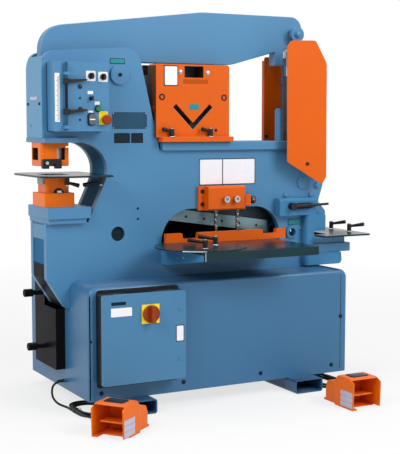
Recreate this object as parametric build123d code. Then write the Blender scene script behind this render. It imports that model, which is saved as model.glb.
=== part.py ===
"""Hydraulic ironworker: a two-plate profiled frame standing in a base cabinet.

Stations: punch in the throat on the left, angle shear on the ledge, flat shear in the arch, notcher at
the right end. X runs to the right from the cabinet's left end, Y to the back from its front and Z up, with
the cabinet's top at CAB_TOP. Every piece is moved to the part frame when it is saved: the origin there is on
the floor, in the middle of the four anchor holes.
"""
import os
from math import dist, hypot, pi, radians, sqrt, tan
from build123d import *

os.makedirs("parts", exist_ok=True)

# Base cabinet and skids
CAB_W = 1336
CAB_D = 742
CAB_H = 495
CAB_TOP = 495
CAB_WALL = 4
CAB_FLOOR_T = 5
SHOULDER_R = 40
UPRIGHT_R = 20
DECK_SINK = 6
DECK_RIM = 8
SKID_W = 150
SKID_H = 64
SKID_WALL = 6
SKID_R = 12
SKID_LEFT = 137
SKID_RIGHT = 1000
SKID_OUT = 70
ANCHOR_INSET = 35
ANCHOR_R = 9
GLAND_Y = 267
GLAND_UP = 43
GLAND_LONG = 14
GLAND_R = 9

# Electrical enclosure, its door and switchgear
SHEET = 3
ENCL_LEFT = 33
ENCL_RIGHT = 418
ENCL_UP = 84
ENCL_DOWN = 29
ENCL_OUT = 62
ENCL_IN = 150
DOOR_T = 18
DOOR_LAP = 3
DOOR_R = 6
DISCONNECT_X = 250
DISCONNECT_DOWN = 117
DISCONNECT_W = 82
DISCONNECT_SEAT = 5
KNOB_R = 38
KNOB_T = 12
KNOB_GRIP = (9, 22, 36)
GEAR_PLATE_T = 6
GEAR_INSET = 20
GEAR_ROWS = ((60, 70), (210, 55))
GEAR_COUNT = 5
GEAR_PITCH = 62
GEAR_SIZE = (46, 85)
DUCT_H = 25
DUCT_DEEP = 40
DUCT_ROWS = (30, 165, 322)

# Power unit
TANK_LEFT = 300
TANK_RIGHT = 900
TANK_H = 295
TANK_GAP = 30
TANK_R = 20
FILLER_R = 30
FILLER_H = 25
FILLER_INSET = 60
MOTOR_LEFT = 570
MOTOR_RIGHT = 900
MOTOR_R = 85
MOTOR_UP = 155
MOTOR_AHEAD = 105
FAN_LONG = 45
FAN_R = 80
FLANGE_T = 30
FLANGE_R = 95
PUMP_LONG = 90
PUMP_R = 52
PUMP_BODY = (65, 60, 40)
MOTOR_FOOT = (50, 280, 70)
TERMINAL_BOX = (120, 220, 45, 115)

# Slug bin
BIN_OUT = 43
BIN_IN = 170
BIN_FRONT = 285
BIN_REAR = 555
BIN_UP = 90
BIN_BELOW_JAW = 10
BIN_REAR_DOWN = 37
BIN_R = 4
BIN_ROOM = 2
SHELF_T = 8
SHELF_EDGE = 4
PULL_ROD_R = 12
PULL_ROD_LONG = 55
PULL_GRIP_R = 18
PULL_GRIP = (50, 92)
PULL_EDGE = 4
PULL_RODS = (5, 94, 20, 35)

# Frame: two profiled plates with a gap between them
FRAME_Y = 225
PLATE_T = 30
PLATE_GAP = 140
TOWER_LEFT = -111
TOWER_TOP = 1499
TOWER_PEAK = (338, 1530)
TOWER_FOOT_X = 445
SEAT_X = 43
JAW_LEFT = -105
JAW_TOP = 753
JAW_CHIN = 509
JAW_FOOT = (-19, 375)
JAW_IN = 92
THROAT_TOP = 1106
THROAT_IN = 256
THROAT_R = 125
LEDGE_SEAT = 1067
LEDGE_T = 39
LEDGE_OUT = 20
LEDGE_LEFT = 452
LEDGE_RIGHT = 1118
BACK_EDGE = ((1330, LEDGE_SEAT, 15), (1340, 889, 25), (1313, 808, 15), (1356, 760, 10))
NOSE_X = 1360
LIP_X = 1424
LIP_FOOT_X = 1430
LIP_UP = 10
LIP_R = 6
LEG_LEFT = 180
LEG_RIGHT = 1280
ARCH_LEFT = 453
ARCH_RIGHT = 1090
ARCH_BOTTOM = 600
ARCH_TOP = 795
ARCH_LEFT_R = 150
ARCH_RIGHT_R = 140
ARCH_FOOT_R = 10
NOTCH_X = 1262
NOTCH_Z = 556
NOTCH_TOP = 665
ACCESS_HOLE = (236, 695)
ACCESS_R = 33
BAR_HOLE = (1157, 661)
BAR_HOLE_R = 20
BUSH_R = 33
BUSH_T = 14
BUSH_WEB = 6
SMALL_HOLES = ((335, 806), (335, 759))
SMALL_HOLE_R = 6
LINER_T = 8

# Pivots, as X and Z
TOWER_PIVOT = (246, 1405)
TOWER_PIN_R = 30
TOWER_CAP_R = 44
TOWER_CAP_T = 12
TOWER_COLLAR_R = 46
ARM_PIVOT = (1218, 900)
ARM_PIN_R = 24
ARM_CAP_R = 28
ARM_CAP_T = 8
ARM_COLLAR_R = 34
BEAM_PIN = (1208, 1620)
BEAM_PIN_R = 20
CYL_FOOT_Z = 1112
CYL_PIN_R = 15
CYL_PIN_HEAD = 4
LINK_FOOT = (1288, 820)
LINK_PIN_R = 12

# Spacer blocks between the plates
JAW_BLOCK = (-100, 150, 530)
TOWER_BLOCK = (120, 400, 1150, 1260)
SOLE_H = 55
SOLE_INSET = 20
SEAT_LOW = 490
GUIDE_RIGHT = 1350
GUIDE_TOP = 745
GUIDE_UP = 7
FOOT_LEFT = 1120
FOOT_H = 47
EAR_R = 24
EAR_T = 18.5
EAR_OUT = 39

# Bolsters, ledge post and guards
BOLSTER_TOP = 825
BOLSTER_LOW = 775
BOLSTER_RIGHT = 96
BOLSTER_OUT = 35
BOLSTER_NECK = (-100, 75, 25)
BOLSTER_EDGE = 6
LEDGE_EDGE = 4
BOLSTER_PLATE_T = 21
BOLSTER_PLATE_OUT = 20
POST = (1090, 236)
POST_R = 19
POST_TOP = 1255
POST_TIP_R = 14
POST_TIP_H = 7
GUARD_AHEAD = 75
FRONT_GUARD = ((1080, 1554, 8), (1108, 1581, 8), (1242, 1585, 20), (1306, 1479, 40), (1310, 932, 10),
               (1286, 895, 10), (1085, 1007, 10))
GUARD_RETURN = (1305, 50, 945, 1440)
STANDOFFS = ((1199, 996), (1272, 960))
STANDOFF_R = 12
REAR_GUARD = ((1121, 1000, 6), (1121, 1518, 12), (1290, 1518, 40), (1290, 1000, 6))
REAR_RETURN = (22, 1500)
END_TOP = 1478
END_REAR_R = 60
END_FRONT_R = 10
END_HOLE_Z = 1300
END_HOLE_R = 9

# Beam, links, arm and blades
BEAM_T = 56
BEAM_PROFILE = ((-91, 1440, 10), (-91, 1610, 110), (700, 1706, 300), (1256, 1706, 60), (1256, 1572, 40),
                (1110, 1535, 60), (853, 1465, 200), (345, 1465, 25), (318, 1330, 60), (172, 1330, 60),
                (150, 1440, 25))
BEAM_HEEL = (1104, 1150, 1470, 1560)
BEAM_EDGE = 3
LINK_T = 16
LINK_R = 20
LINK_HEAD_R = 36
LINK_ROOM = 2
RAM_HALF = 21
NOTCH_RAM_LOW = 722
NOTCH_RAM_UP = 30
NOTCH_PUNCH_LOW = 700
NOTCH_PUNCH_HALF = 40
NOTCH_PUNCH_BACK = 3
ARM_T = 60
ARM_AHEAD = 12
ARM_EYE_R = 44
ARM_PAD_Z = 748
ARM_TOE_LOW = 665
ARM_PAD = (205, 350)
ARM_BELLY = (490, 1060)
ARM_BACK = (640, 880)
BLADE_T = 27.5
BLADE_H = 58
BLADE_LEFT = 492
BLADE_RIGHT = 1058
BLADE_LAP = 6
BLADE_EDGE = (522, 740)
BLADE_SLOPE = 0.147

# Cylinders
BARREL_R = 45
BARREL_WALL = 8
BARREL_BOTTOM = 1140
BARREL_TOP = 1420
BARREL_BASE = 20
BARREL_RING = (3, 40)
BARREL_EYE_T = 40
ROD_GLAND_T = 30
ROD_R = 22
PISTON_LOW = 1255
PISTON_H = 30
FORK_R = 32
FORK_T = 19
FORK_DOWN = 80
FORK_BASE = 32
PUNCH_CYL_HALF = 70
PUNCH_CYL_TOP = 1400
PUNCH_BORE_TOP = 1345
SHEAR_CYL_X = 300
SHEAR_ROD_R = 26
SHEAR_BARREL_R = 55
SHEAR_CYL_BOTTOM = 830
SHEAR_CYL_TOP = 1050
SHEAR_FLANGE_H = 40
SHEAR_FLANGE_HALF = 60
SHEAR_HEAD_T = 15

# Punch station
PUNCH_X = -32
RAM_R = 45
RAM_LOW = 1085
RAM_TOP = 1300
NUT_R = 44
NUT_LOW = 1029
PUNCH_R = 12
PUNCH_LOW = 1002
STRIPPER_LOW = 1003
STRIPPER_LEFT = 78
STRIPPER_RIGHT = 52
STRIPPER_HALF = 65
STRIPPER_FLOOR = 18
STRIPPER_ROOM = 4
STRIPPER_EDGE = 8
WINDOW = (5, 33, 27, 23)
SIDE_WINDOW = (25, 55, 26, 23)
CLAMP_SLOT = (16, 23, 7)
FOOT_FORK = (24, 10, 32)
FORK_SLOT = (50, 20, 10)
DIE_R = 28
DIE_TOP = 967
DIE_DEEP = 42
DIE_GAP = 1
SLUG_R = 20
HOLDER_TOP = 958
HOLDER_BASE = (70, 80, 885)
HOLDER_UPPER = (54, 60)
HOLDER_R = 14
HOLDER_EDGE = 6
TABLE_T = 8
PUNCH_TABLE_DOWN = 2
PUNCH_TABLE_FRONT = 110
PUNCH_TABLE_REAR = 560
PUNCH_TABLE_LEFT = -150
PUNCH_TABLE_RIGHT = 175
TABLE_HOLE = (58, 64, 16)
TABLE_BRACKET = (8, 35, 33)
PUNCH_LEVERS = ((-4, 228, -28, 46, "left"), (145, 200, 152, 72, "right"))

# Clamp levers
LEVER_HUB_R = 11
LEVER_HUB_H = 36
LEVER_ARM_UP = 26
LEVER_ARM_R = (6, 10)
LEVER_RISE = 12
LEVER_LONG = 70
SHAFT_R = 6

# Operator box
BOX_LEFT = -93
BOX_RIGHT = 163
BOX_BOTTOM = 1155
BOX_TOP = 1451
BOX_DEEP = 80
BOX_R = 6
STROKE_ROD_X = -39
STROKE_ROD_R = 6
STROKE_ROD_AHEAD = 13
STROKE_ROD_UP = 5
GUIDE_H = 13
GUIDE_HALF = 11
GUIDES = (1167, 1395)
COLLARS = {"upper": 1368, "lower": 1239}
COLLAR_R = 13
COLLAR_HALF = 12
FINGER_END = 54
FINGER_HALF = 9
FINGER_T = 10
SELECTORS = ((79, 1393, 13, "left"), (135, 1390, 13, "right"), (78, 1297, 9, "small"))
BEZEL_T = 10
GRIP_T = 14
GRIP_HALF = 4
START = (109, 1253)
START_R = 11
TWIN = (79, 1207)
TWIN_HALF = (14, 24)
STOP = (144, 1205)
STOP_R = 21.5
STOP_HEAD_T = 14
STOP_NECK_R = 12
STOP_NECK_T = 10
STOP_CROWN_R = 6
BUTTON_LIFT = 5
BUTTON_T = 9
SHAFT_IN = 14

# Angle shear
ANGLE_LEFT = 418
ANGLE_RIGHT = 797
ANGLE_TOP = 1458
ANGLE_AHEAD = 20
ANGLE_LIFT = 20
ANGLE_EDGE = 8
FLANGE = (437, 807, 45, 23)
TOWER_SLOPE = (409, 1300, 470)
V_APEX = (606, 1160)
V_LEG = 145
V_WIDE = 23
V_CORNER_R = 3
V_RELIEF = (8, 25, 11)
PUSHER_X = 612
PUSHER_TOP = 1465
PUSHER_R = 60
PUSHER_T = 50
WELL_HALF = 97
WELL_T = 60
WELL_UP = 55
WELL_TOP = 1375
STEM_HALF = 49
STEM_TOP = 1452
ANGLE_SLOT_LOW = 1410
BEAM_ROOM = 8
ANGLE_WINDOW = (1398, 8)
ANGLE_BLADE = (1207, 1305, 1340)
ANGLE_CLAMPS = ((492, "left"), (692, "right"))
CLAMP_AHEAD = 33
CLAMP_TURN = 192
CLAMP_LONG = 46
CLAMP_RISE = 8

# Flat shear
HOLD_LEFT = 638
HOLD_RIGHT = 873
HOLD_DEEP = 55
HOLD_LOW = 787
HOLD_TOP = 899
HOLD_EAR = (32, 18)
HOLD_CHAMFER = 8
HOLD_SIDE_CHAMFER = 12
HOLD_FILLET = 10
HOLD_NOSE = (28, 8, 18, 68)
HOLD_KNOB_UP = 42
HOLD_KNOB_BACK = 28
HOLD_STEM = (6, 12)
HOLD_KNOB = (13, 18)
HOLD_RODS = (733, 848)
HOLD_ROD_R = 8
HOLD_ROD_BACK = 10
HOLD_ROD_LOW = 690
HOLD_ROD_DOWN = 12
HOLD_FOOT_R = 9
HOLD_FOOT_H = 8
SHEAR_TABLE_Z = 640
SHEAR_TABLE_FRONT = -205
SHEAR_LEFT = 451
SHEAR_RIGHT = 1030
SHEAR_TABLE_T = 12
SILL_INSET = 12
APRON_H = 26
RIB_DEEP = 81
RIB_INNER = 46
RIB_TIP = 26
RIB_FLAT = 60
RIB_BACK = 10
GUSSET = (604, 750, 84, 114)
GUSSET_T = 12
DISC = (540, 8)
DISC_R = 205
DISC_T = 6
LOWER_BLADE_FOOT = 575
LOWER_BLADE_UP = 2
SHEAR_LEVERS = ((514, -86, 152, "left"), (624, 23, 152, "right"))
FENCE_LEFT = 456
FENCE_RIGHT = 1097
FENCE_FRONT = 180
FENCE_T = 25
FENCE_H = 47
RELIEFS = ((538, 622, 21), (967, 1046, 27))
RELIEF_SLOPE = 4

# Notcher
CHEEK_T = 45
CHEEK_LEFT = 1218
CHEEK_RIGHT = 1329
CHEEK_TOP = 746
CHEEK_UP = 2
COVER = (1064, 1272, 829)
COVER_EDGE = 10
TOGGLE_PIVOT = (1127, 792)
TOGGLE_HUB_R = 17
TOGGLE_HUB_T = 30
TOGGLE_ARM_OUT = 16
TOGGLE_GRIP = (110, 13, 2)
TOGGLE_TAIL = (100, 205, 6, 6)
TOGGLE_SHAFT_END = 5
SHOE_RIGHT = 1484
SHOE_H = 42
SHOE_IN = 10
DIE_BLOCK_RIGHT = 1459
DIE_BLOCK_IN = 12
NOTCH_DIE_TOP = 640
DIE_SLOT_GAP = (2, 3)
NOTCH_TABLE_FRONT = 90
NOTCH_TABLE_REAR = 505
NOTCH_TABLE_RIGHT = 1545
TABLE_CHEEK_GAP = 6
NOTCH_LEVERS = ((1515, 398, -55, "left"), (1515, 240, -55, "right"))

# Foot switches and their cables
PEDALS = {"left": (29, -264, -53.13), "right": (1128, -333, 0)}
PEDAL_W = 150
PEDAL_HOOD = 150
PEDAL_H = 138
PEDAL_REAR = 80
PEDAL_REAR_H = 104
PEDAL_WALL = 6
PEDAL_EDGE = 12
PEDAL_BACK_IN = 14
PEDAL_LUG = (24, 10, 14, 8)
PEDAL_NOTCH = (25, 55)
PEDAL_GLAND_Z = 36
PEDAL_GLAND_LONG = 12
TREADLE_PIN = (5, 46)
TREADLE_PIN_R = 5
TREADLE_BOSS_R = 10
TREADLE_BOSS_T = 14
TREADLE_IN = 3
TREADLE_SIDE = 18
TREADLE_NOSE = (-84, 18)
CABLE_R = 5
COILS = {"left": (45, 100, 1), "right": (1238, 70, -1)}
COIL_HALF = 75
COIL_RUN = 100
COIL_PITCH = 11.5
COIL_RISE = 10.8
COIL_RUNS = 5
ARC_SHARE = 0.45

# Clearances
RUN_FIT = 0.05
SLIDE_GAP = 0.3
OPEN_PIVOT = 1.2
SEAT_GAP = 1
OVER = 1

# Values worked out from the sizes above
CAB_FOOT = CAB_TOP - CAB_H
CAB_FLOOR = CAB_FOOT + CAB_FLOOR_T
SHOP_FLOOR = CAB_FOOT - SKID_H
GLAND_Z = CAB_FOOT + GLAND_UP
ENCL_BOTTOM = CAB_FOOT + ENCL_UP
ENCL_TOP = CAB_TOP - ENCL_DOWN
DISCONNECT = (DISCONNECT_X, CAB_TOP - DISCONNECT_DOWN)
DOOR_FRONT = -ENCL_OUT - DOOR_T
BIN_FLOOR = CAB_FOOT + BIN_UP
BIN_TOP = JAW_FOOT[1] - BIN_BELOW_JAW
BIN_REAR_TOP = CAB_TOP - BIN_REAR_DOWN
FRONT_IN = FRAME_Y + PLATE_T
REAR_IN = FRONT_IN + PLATE_GAP
REAR_OUT = REAR_IN + PLATE_T
MID_Y = FRONT_IN + PLATE_GAP / 2
LEDGE_TOP = LEDGE_SEAT + LEDGE_T
TOWER_SEAT = THROAT_TOP + BOLSTER_PLATE_T
BEAM_FRONT = MID_Y - BEAM_T / 2
BEAM_REAR = MID_Y + BEAM_T / 2
LINK_FRONT = FRONT_IN + LINK_ROOM
ARM_FRONT = MID_Y - ARM_AHEAD
ARM_REAR = ARM_FRONT + ARM_T
UPPER_BLADE_FRONT = ARM_FRONT - BLADE_T
LOWER_BLADE_REAR = UPPER_BLADE_FRONT - SLIDE_GAP
BOX_FRONT = FRAME_Y - BOX_DEEP
STROKE_ROD_Y = BOX_FRONT - STROKE_ROD_AHEAD
ANGLE_FRONT = FRAME_Y - ANGLE_AHEAD
ANGLE_REAR = REAR_OUT + ANGLE_AHEAD
HOLD_FRONT = FRAME_Y - HOLD_DEEP
HOLD_ROD_Y = FRAME_Y - HOLD_ROD_BACK
CHEEK_FRONT = FRAME_Y - CHEEK_T
PUNCH_TABLE_TOP = DIE_TOP - PUNCH_TABLE_DOWN
PUNCH_TABLE_LOW = PUNCH_TABLE_TOP - TABLE_T
SHEAR_TABLE_LOW = SHEAR_TABLE_Z - SHEAR_TABLE_T
CABLE_FLOOR = SHOP_FLOOR + CABLE_R
ORIGIN_X = (SKID_LEFT + SKID_RIGHT + SKID_W) / 2
TO_PART = Location((-ORIGIN_X, -CAB_D / 2, -SHOP_FLOOR))


def save(node, *solids):
    """Writes one sub-part in the part frame."""
    shape = solids[0] if len(solids) == 1 else Compound(list(solids))
    export_step(TO_PART * shape, f"parts/{node}.step")


def box(x0, x1, y0, y1, z0, z1):
    """A block between two corners."""
    return Pos((x0 + x1) / 2, (y0 + y1) / 2, (z0 + z1) / 2) * Box(x1 - x0, y1 - y0, z1 - z0)


def bar(start, end, radius):
    """A round bar from one point to another."""
    axis = Vector(end) - Vector(start)
    foot = Align.CENTER, Align.CENTER, Align.MIN
    return Plane(origin=start, z_dir=axis) * Cylinder(radius, axis.length, align=foot)


def bar_x(radius, y, z, x0, x1):
    """A round bar along X."""
    return bar((x0, y, z), (x1, y, z), radius)


def bar_y(radius, x, z, y0, y1):
    """A round bar along Y."""
    return bar((x, y0, z), (x, y1, z), radius)


def bar_z(radius, x, y, z0, z1):
    """A round bar along Z."""
    return bar((x, y, z0), (x, y, z1), radius)


def outline(corners):
    """A closed face from corners given as two places and a corner radius."""
    points = [(a, b) for a, b, radius in corners]
    return make_face(FilletPolyline(*points, radius=[radius for a, b, radius in corners], close=True))


def slab_y(face, y0, y1):
    """A face drawn in X and Z, given a thickness in Y."""
    plane = Plane(origin=(0, y1, 0), x_dir=(1, 0, 0), z_dir=(0, -1, 0))
    return extrude(plane * face, y1 - y0)


def slab_z(face, z0, z1):
    """A face drawn in X and Y, given a height."""
    return extrude(Pos(0, 0, z0) * face, z1 - z0)


def slab_x(face, x0, x1):
    """A face drawn in Y and Z, given a width in X."""
    plane = Plane(origin=(x0, 0, 0), x_dir=(0, 1, 0), z_dir=(1, 0, 0))
    return extrude(plane * face, x1 - x0)


def edges_along(shape, axis, *places):
    """The edges along one axis whose middle lies at any of the given places in the other two."""
    near = 0.5
    chosen = []
    for edge in shape.edges().filter_by(axis):
        middle = edge.center()
        for place in places:
            if all(abs(getattr(middle, name) - value) < near for name, value in place.items()):
                chosen.append(edge)
    return chosen


def mirror_y(shape):
    """The same shape on the other side of the frame's middle plane."""
    return mirror(shape, about=Plane(origin=(0, MID_Y, 0), x_dir=(1, 0, 0), z_dir=(0, 1, 0)))


def slot_link(start, end, radius, y0, y1):
    """A flat link with round ends between two points in X and Z."""
    middle = ((start[0] + end[0]) / 2, (start[1] + end[1]) / 2)
    sketch = SlotCenterToCenter(dist(start, end), 2 * radius)
    lean = Vector(end[0] - start[0], end[1] - start[1]).get_angle(Vector(-1, 0))
    return slab_y(Pos(*middle) * Rot(0, 0, lean) * sketch, y0, y1)


# Base


def skid_tubes():
    """Two forklift tubes with an anchor hole through the lower wall at each end."""
    tubes = []
    for left in (SKID_LEFT, SKID_RIGHT):
        right = left + SKID_W
        tube = box(left, right, -SKID_OUT, CAB_D + SKID_OUT, SHOP_FLOOR, CAB_FOOT)
        tube = fillet(tube.edges().filter_by(Axis.Y), SKID_R)
        bore = box(left + SKID_WALL, right - SKID_WALL, -SKID_OUT - OVER, CAB_D + SKID_OUT + OVER,
                   SHOP_FLOOR + SKID_WALL, CAB_FOOT - SKID_WALL)
        tube -= fillet(bore.edges().filter_by(Axis.Y), SKID_R - SKID_WALL)
        for y in (-ANCHOR_INSET, CAB_D + ANCHOR_INSET):
            tube -= bar_z(ANCHOR_R, left + SKID_W / 2, y, SHOP_FLOOR - OVER, SHOP_FLOOR + SKID_WALL + OVER)
        tubes.append(tube)
    return tubes


def cabinet_shell():
    """Folded cabinet with a sunk deck, round shoulders, a bin shelf and two cable glands."""
    shell = box(0, CAB_W, 0, CAB_D, CAB_FOOT, CAB_TOP)
    shell = fillet(edges_along(shell, Axis.Y, {"X": 0, "Z": CAB_TOP}, {"X": CAB_W, "Z": CAB_TOP}), SHOULDER_R)
    uprights = edges_along(shell, Axis.Z, {"X": CAB_W, "Y": 0}, {"X": CAB_W, "Y": CAB_D})
    shell = fillet(uprights, UPRIGHT_R)
    deck = CAB_TOP - DECK_SINK
    under = deck - CAB_WALL
    inside = box(CAB_WALL, CAB_W - CAB_WALL, CAB_WALL, CAB_D - CAB_WALL, CAB_FLOOR, under)
    tops = edges_along(inside, Axis.Y, {"X": CAB_WALL, "Z": under}, {"X": CAB_W - CAB_WALL, "Z": under})
    shell -= fillet(tops, SHOULDER_R)
    rim = SHOULDER_R + CAB_WALL
    shell -= box(rim, CAB_W - rim, DECK_RIM, CAB_D - DECK_RIM, deck, CAB_TOP + OVER)
    shell -= box(-OVER, LEG_RIGHT + SEAT_GAP, FRAME_Y - SEAT_GAP, REAR_OUT + SEAT_GAP,
                 JAW_FOOT[1] - BIN_BELOW_JAW / 2, CAB_TOP + OVER)
    front = BIN_FRONT - BIN_ROOM
    rear = BIN_REAR + BIN_ROOM
    shell -= box(-OVER, SHOULDER_R, front, rear, BIN_FLOOR - SLIDE_GAP, BIN_TOP + BIN_BELOW_JAW)
    shell -= box(-OVER, SHOULDER_R, REAR_OUT, rear, BIN_TOP, BIN_REAR_TOP + 2 * BIN_ROOM)
    shell -= box(ENCL_LEFT - SLIDE_GAP, ENCL_RIGHT + SLIDE_GAP, -OVER, CAB_WALL + OVER,
                 ENCL_BOTTOM - SLIDE_GAP, ENCL_TOP + SLIDE_GAP)
    shell += box(CAB_WALL - OVER, BIN_IN + SHELF_EDGE, BIN_FRONT - SHELF_EDGE, BIN_REAR + SHELF_EDGE,
                 BIN_FLOOR - SHELF_T, BIN_FLOOR - SLIDE_GAP)
    for y in (BIN_FRONT - SHELF_EDGE, BIN_REAR):
        shell += box(BIN_IN, BIN_IN + SHELF_EDGE, y, y + SHELF_EDGE, CAB_FLOOR - OVER, BIN_FLOOR - SHELF_EDGE)
    shell += bar_x(GLAND_R, GLAND_Y, GLAND_Z, -GLAND_LONG, CAB_WALL)
    return shell + bar_x(GLAND_R, GLAND_Y, GLAND_Z, CAB_W - CAB_WALL, CAB_W + GLAND_LONG)


def electrical_enclosure():
    """Steel box through the cabinet's front wall with its mounting plate and switchgear."""
    body = box(ENCL_LEFT, ENCL_RIGHT, -ENCL_OUT, ENCL_IN, ENCL_BOTTOM, ENCL_TOP)
    body -= box(ENCL_LEFT + SHEET, ENCL_RIGHT - SHEET, -ENCL_OUT - OVER, ENCL_IN - SHEET,
                ENCL_BOTTOM + SHEET, ENCL_TOP - SHEET)
    back = ENCL_IN - SHEET
    face = back - GEAR_PLATE_T
    gear = box(ENCL_LEFT + GEAR_INSET, ENCL_RIGHT - GEAR_INSET, face, back,
               ENCL_BOTTOM + GEAR_INSET, ENCL_TOP - GEAR_INSET)
    wide, high = GEAR_SIZE
    for up, deep in GEAR_ROWS:
        for column in range(GEAR_COUNT):
            x = ENCL_LEFT + 2 * GEAR_INSET + column * GEAR_PITCH
            gear += box(x, x + wide, face - deep, back - OVER, ENCL_BOTTOM + up, ENCL_BOTTOM + up + high)
    ends = 1.5 * GEAR_INSET
    for up in DUCT_ROWS:
        gear += box(ENCL_LEFT + ends, ENCL_RIGHT - ends, face - DUCT_DEEP, back - OVER,
                    ENCL_BOTTOM + up, ENCL_BOTTOM + up + DUCT_H)
    return body + gear


def enclosure_door():
    """Panned door with a raised seat for the disconnect knob."""
    door = box(ENCL_LEFT - DOOR_LAP, ENCL_RIGHT + DOOR_LAP, DOOR_FRONT, -ENCL_OUT, ENCL_BOTTOM - DOOR_LAP,
               ENCL_TOP + DOOR_LAP)
    door = fillet(door.edges().filter_by(Axis.Y), DOOR_R)
    door -= box(ENCL_LEFT + SHEET, ENCL_RIGHT - SHEET, DOOR_FRONT + SHEET, -ENCL_OUT + OVER,
                ENCL_BOTTOM + SHEET, ENCL_TOP - SHEET)
    x, z = DISCONNECT
    half = DISCONNECT_W / 2
    door += box(x - half, x + half, DOOR_FRONT - DISCONNECT_SEAT, DOOR_FRONT + SHEET, z - half, z + half)
    return door - bar_y(SHAFT_R + SLIDE_GAP, x, z, DOOR_FRONT - DISCONNECT_SEAT - OVER, -ENCL_OUT)


def disconnect_knob():
    """Rotary handle of the main disconnect on its shaft."""
    x, z = DISCONNECT
    half, deep, reach = KNOB_GRIP
    face = DOOR_FRONT - DISCONNECT_SEAT - SLIDE_GAP
    knob = bar_y(KNOB_R, x, z, face - KNOB_T, face)
    knob += box(x - half, x + half, face - KNOB_T - deep, face - KNOB_T + OVER, z - reach, z + reach)
    return knob + bar_y(SHAFT_R, x, z, face - OVER, -ENCL_OUT)


def power_unit():
    """Oil tank behind the frame, motor and pump in front of it."""
    top = CAB_FLOOR + TANK_H
    tank = box(TANK_LEFT, TANK_RIGHT, REAR_OUT + TANK_GAP, CAB_D - TANK_GAP, CAB_FLOOR, top)
    tank = fillet(tank.edges().filter_by(Axis.Z), TANK_R)
    filler = TANK_LEFT + FILLER_INSET, CAB_D - TANK_GAP - FILLER_INSET
    tank += bar_z(FILLER_R, *filler, top - OVER, top + FILLER_H)
    axis = FRAME_Y - MOTOR_AHEAD, CAB_FLOOR + MOTOR_UP
    y, z = axis
    motor = bar_x(MOTOR_R, *axis, MOTOR_LEFT, MOTOR_RIGHT)
    motor += bar_x(FAN_R, *axis, MOTOR_RIGHT - OVER, MOTOR_RIGHT + FAN_LONG)
    motor += bar_x(FLANGE_R, *axis, MOTOR_LEFT - FLANGE_T, MOTOR_LEFT + OVER)
    start, end, half = MOTOR_FOOT
    motor += box(MOTOR_LEFT + start, MOTOR_LEFT + end, y - half, y + half, CAB_FLOOR, z)
    start, end, half, up = TERMINAL_BOX
    motor += box(MOTOR_LEFT + start, MOTOR_LEFT + end, y - half, y + half, z, z + up)
    pump = MOTOR_LEFT - FLANGE_T - PUMP_LONG
    motor += bar_x(PUMP_R, *axis, pump, MOTOR_LEFT - FLANGE_T)
    long, half, high = PUMP_BODY
    motor += box(pump, pump + long, y - half, y + half, z - high, z + high)
    return [tank, motor]


def slug_bin():
    """Open slug bin with a tall rear corner and two pull rods on its end panel."""
    step = REAR_OUT + BIN_R
    panel = outline([(BIN_FRONT, BIN_FLOOR, BIN_R), (BIN_REAR, BIN_FLOOR, BIN_R),
                     (BIN_REAR, BIN_REAR_TOP, BIN_R), (step, BIN_REAR_TOP, BIN_R), (step, BIN_TOP, BIN_R / 2),
                     (BIN_FRONT, BIN_TOP, BIN_R)])
    tray = slab_x(panel, -BIN_OUT, BIN_IN)
    tray -= box(-BIN_OUT + SHEET, BIN_IN - SHEET, BIN_FRONT + SHEET, BIN_REAR - SHEET, BIN_FLOOR + SHEET,
                BIN_REAR_TOP + OVER)
    ahead, up, back, down = PULL_RODS
    start, end = PULL_GRIP
    for y, z in ((REAR_IN + ahead, BIN_FLOOR + up), (REAR_OUT + back, BIN_REAR_TOP - down)):
        tray += bar_x(PULL_ROD_R, y, z, -BIN_OUT - PULL_ROD_LONG, -BIN_OUT + SHEET)
        grip = bar_x(PULL_GRIP_R, y, z, -BIN_OUT - end, -BIN_OUT - start)
        tray += fillet(grip.edges().filter_by(GeomType.CIRCLE), PULL_EDGE)
    return tray


# Frame


def plate_outline():
    """Profile of both frame plates: throat, tower, ledge, notch jaw and the leg in the cabinet."""
    lip = CAB_TOP + LIP_UP
    x, z = JAW_FOOT
    return outline([(TOWER_LEFT, TOWER_SEAT, 0), (TOWER_LEFT, TOWER_TOP, 50), (*TOWER_PEAK, 85),
                    (TOWER_FOOT_X, LEDGE_SEAT, 8), *BACK_EDGE, (NOSE_X, NOTCH_TOP, LIP_R),
                    (NOTCH_X, NOTCH_TOP, LIP_R), (NOTCH_X, NOTCH_Z, 0), (LIP_X, NOTCH_Z, LIP_R),
                    (LIP_FOOT_X, lip, 20), (LEG_RIGHT, lip, 4), (LEG_RIGHT, CAB_FLOOR, 0),
                    (LEG_LEFT, CAB_FLOOR, 0), (LEG_LEFT, z, 20), (x, z, 25), (JAW_LEFT, JAW_CHIN, 30),
                    (JAW_LEFT, JAW_TOP, 0), (JAW_IN, JAW_TOP, 0), (THROAT_IN, THROAT_TOP, THROAT_R),
                    (SEAT_X, THROAT_TOP, 0), (SEAT_X, TOWER_SEAT, 0)])


def arch_outline():
    """The flat shear's window with its wide top corners."""
    return outline([(ARCH_LEFT, ARCH_BOTTOM, ARCH_FOOT_R), (ARCH_LEFT, ARCH_TOP, ARCH_LEFT_R),
                    (ARCH_RIGHT, ARCH_TOP, ARCH_RIGHT_R), (ARCH_RIGHT, ARCH_BOTTOM, ARCH_FOOT_R)])


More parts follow.
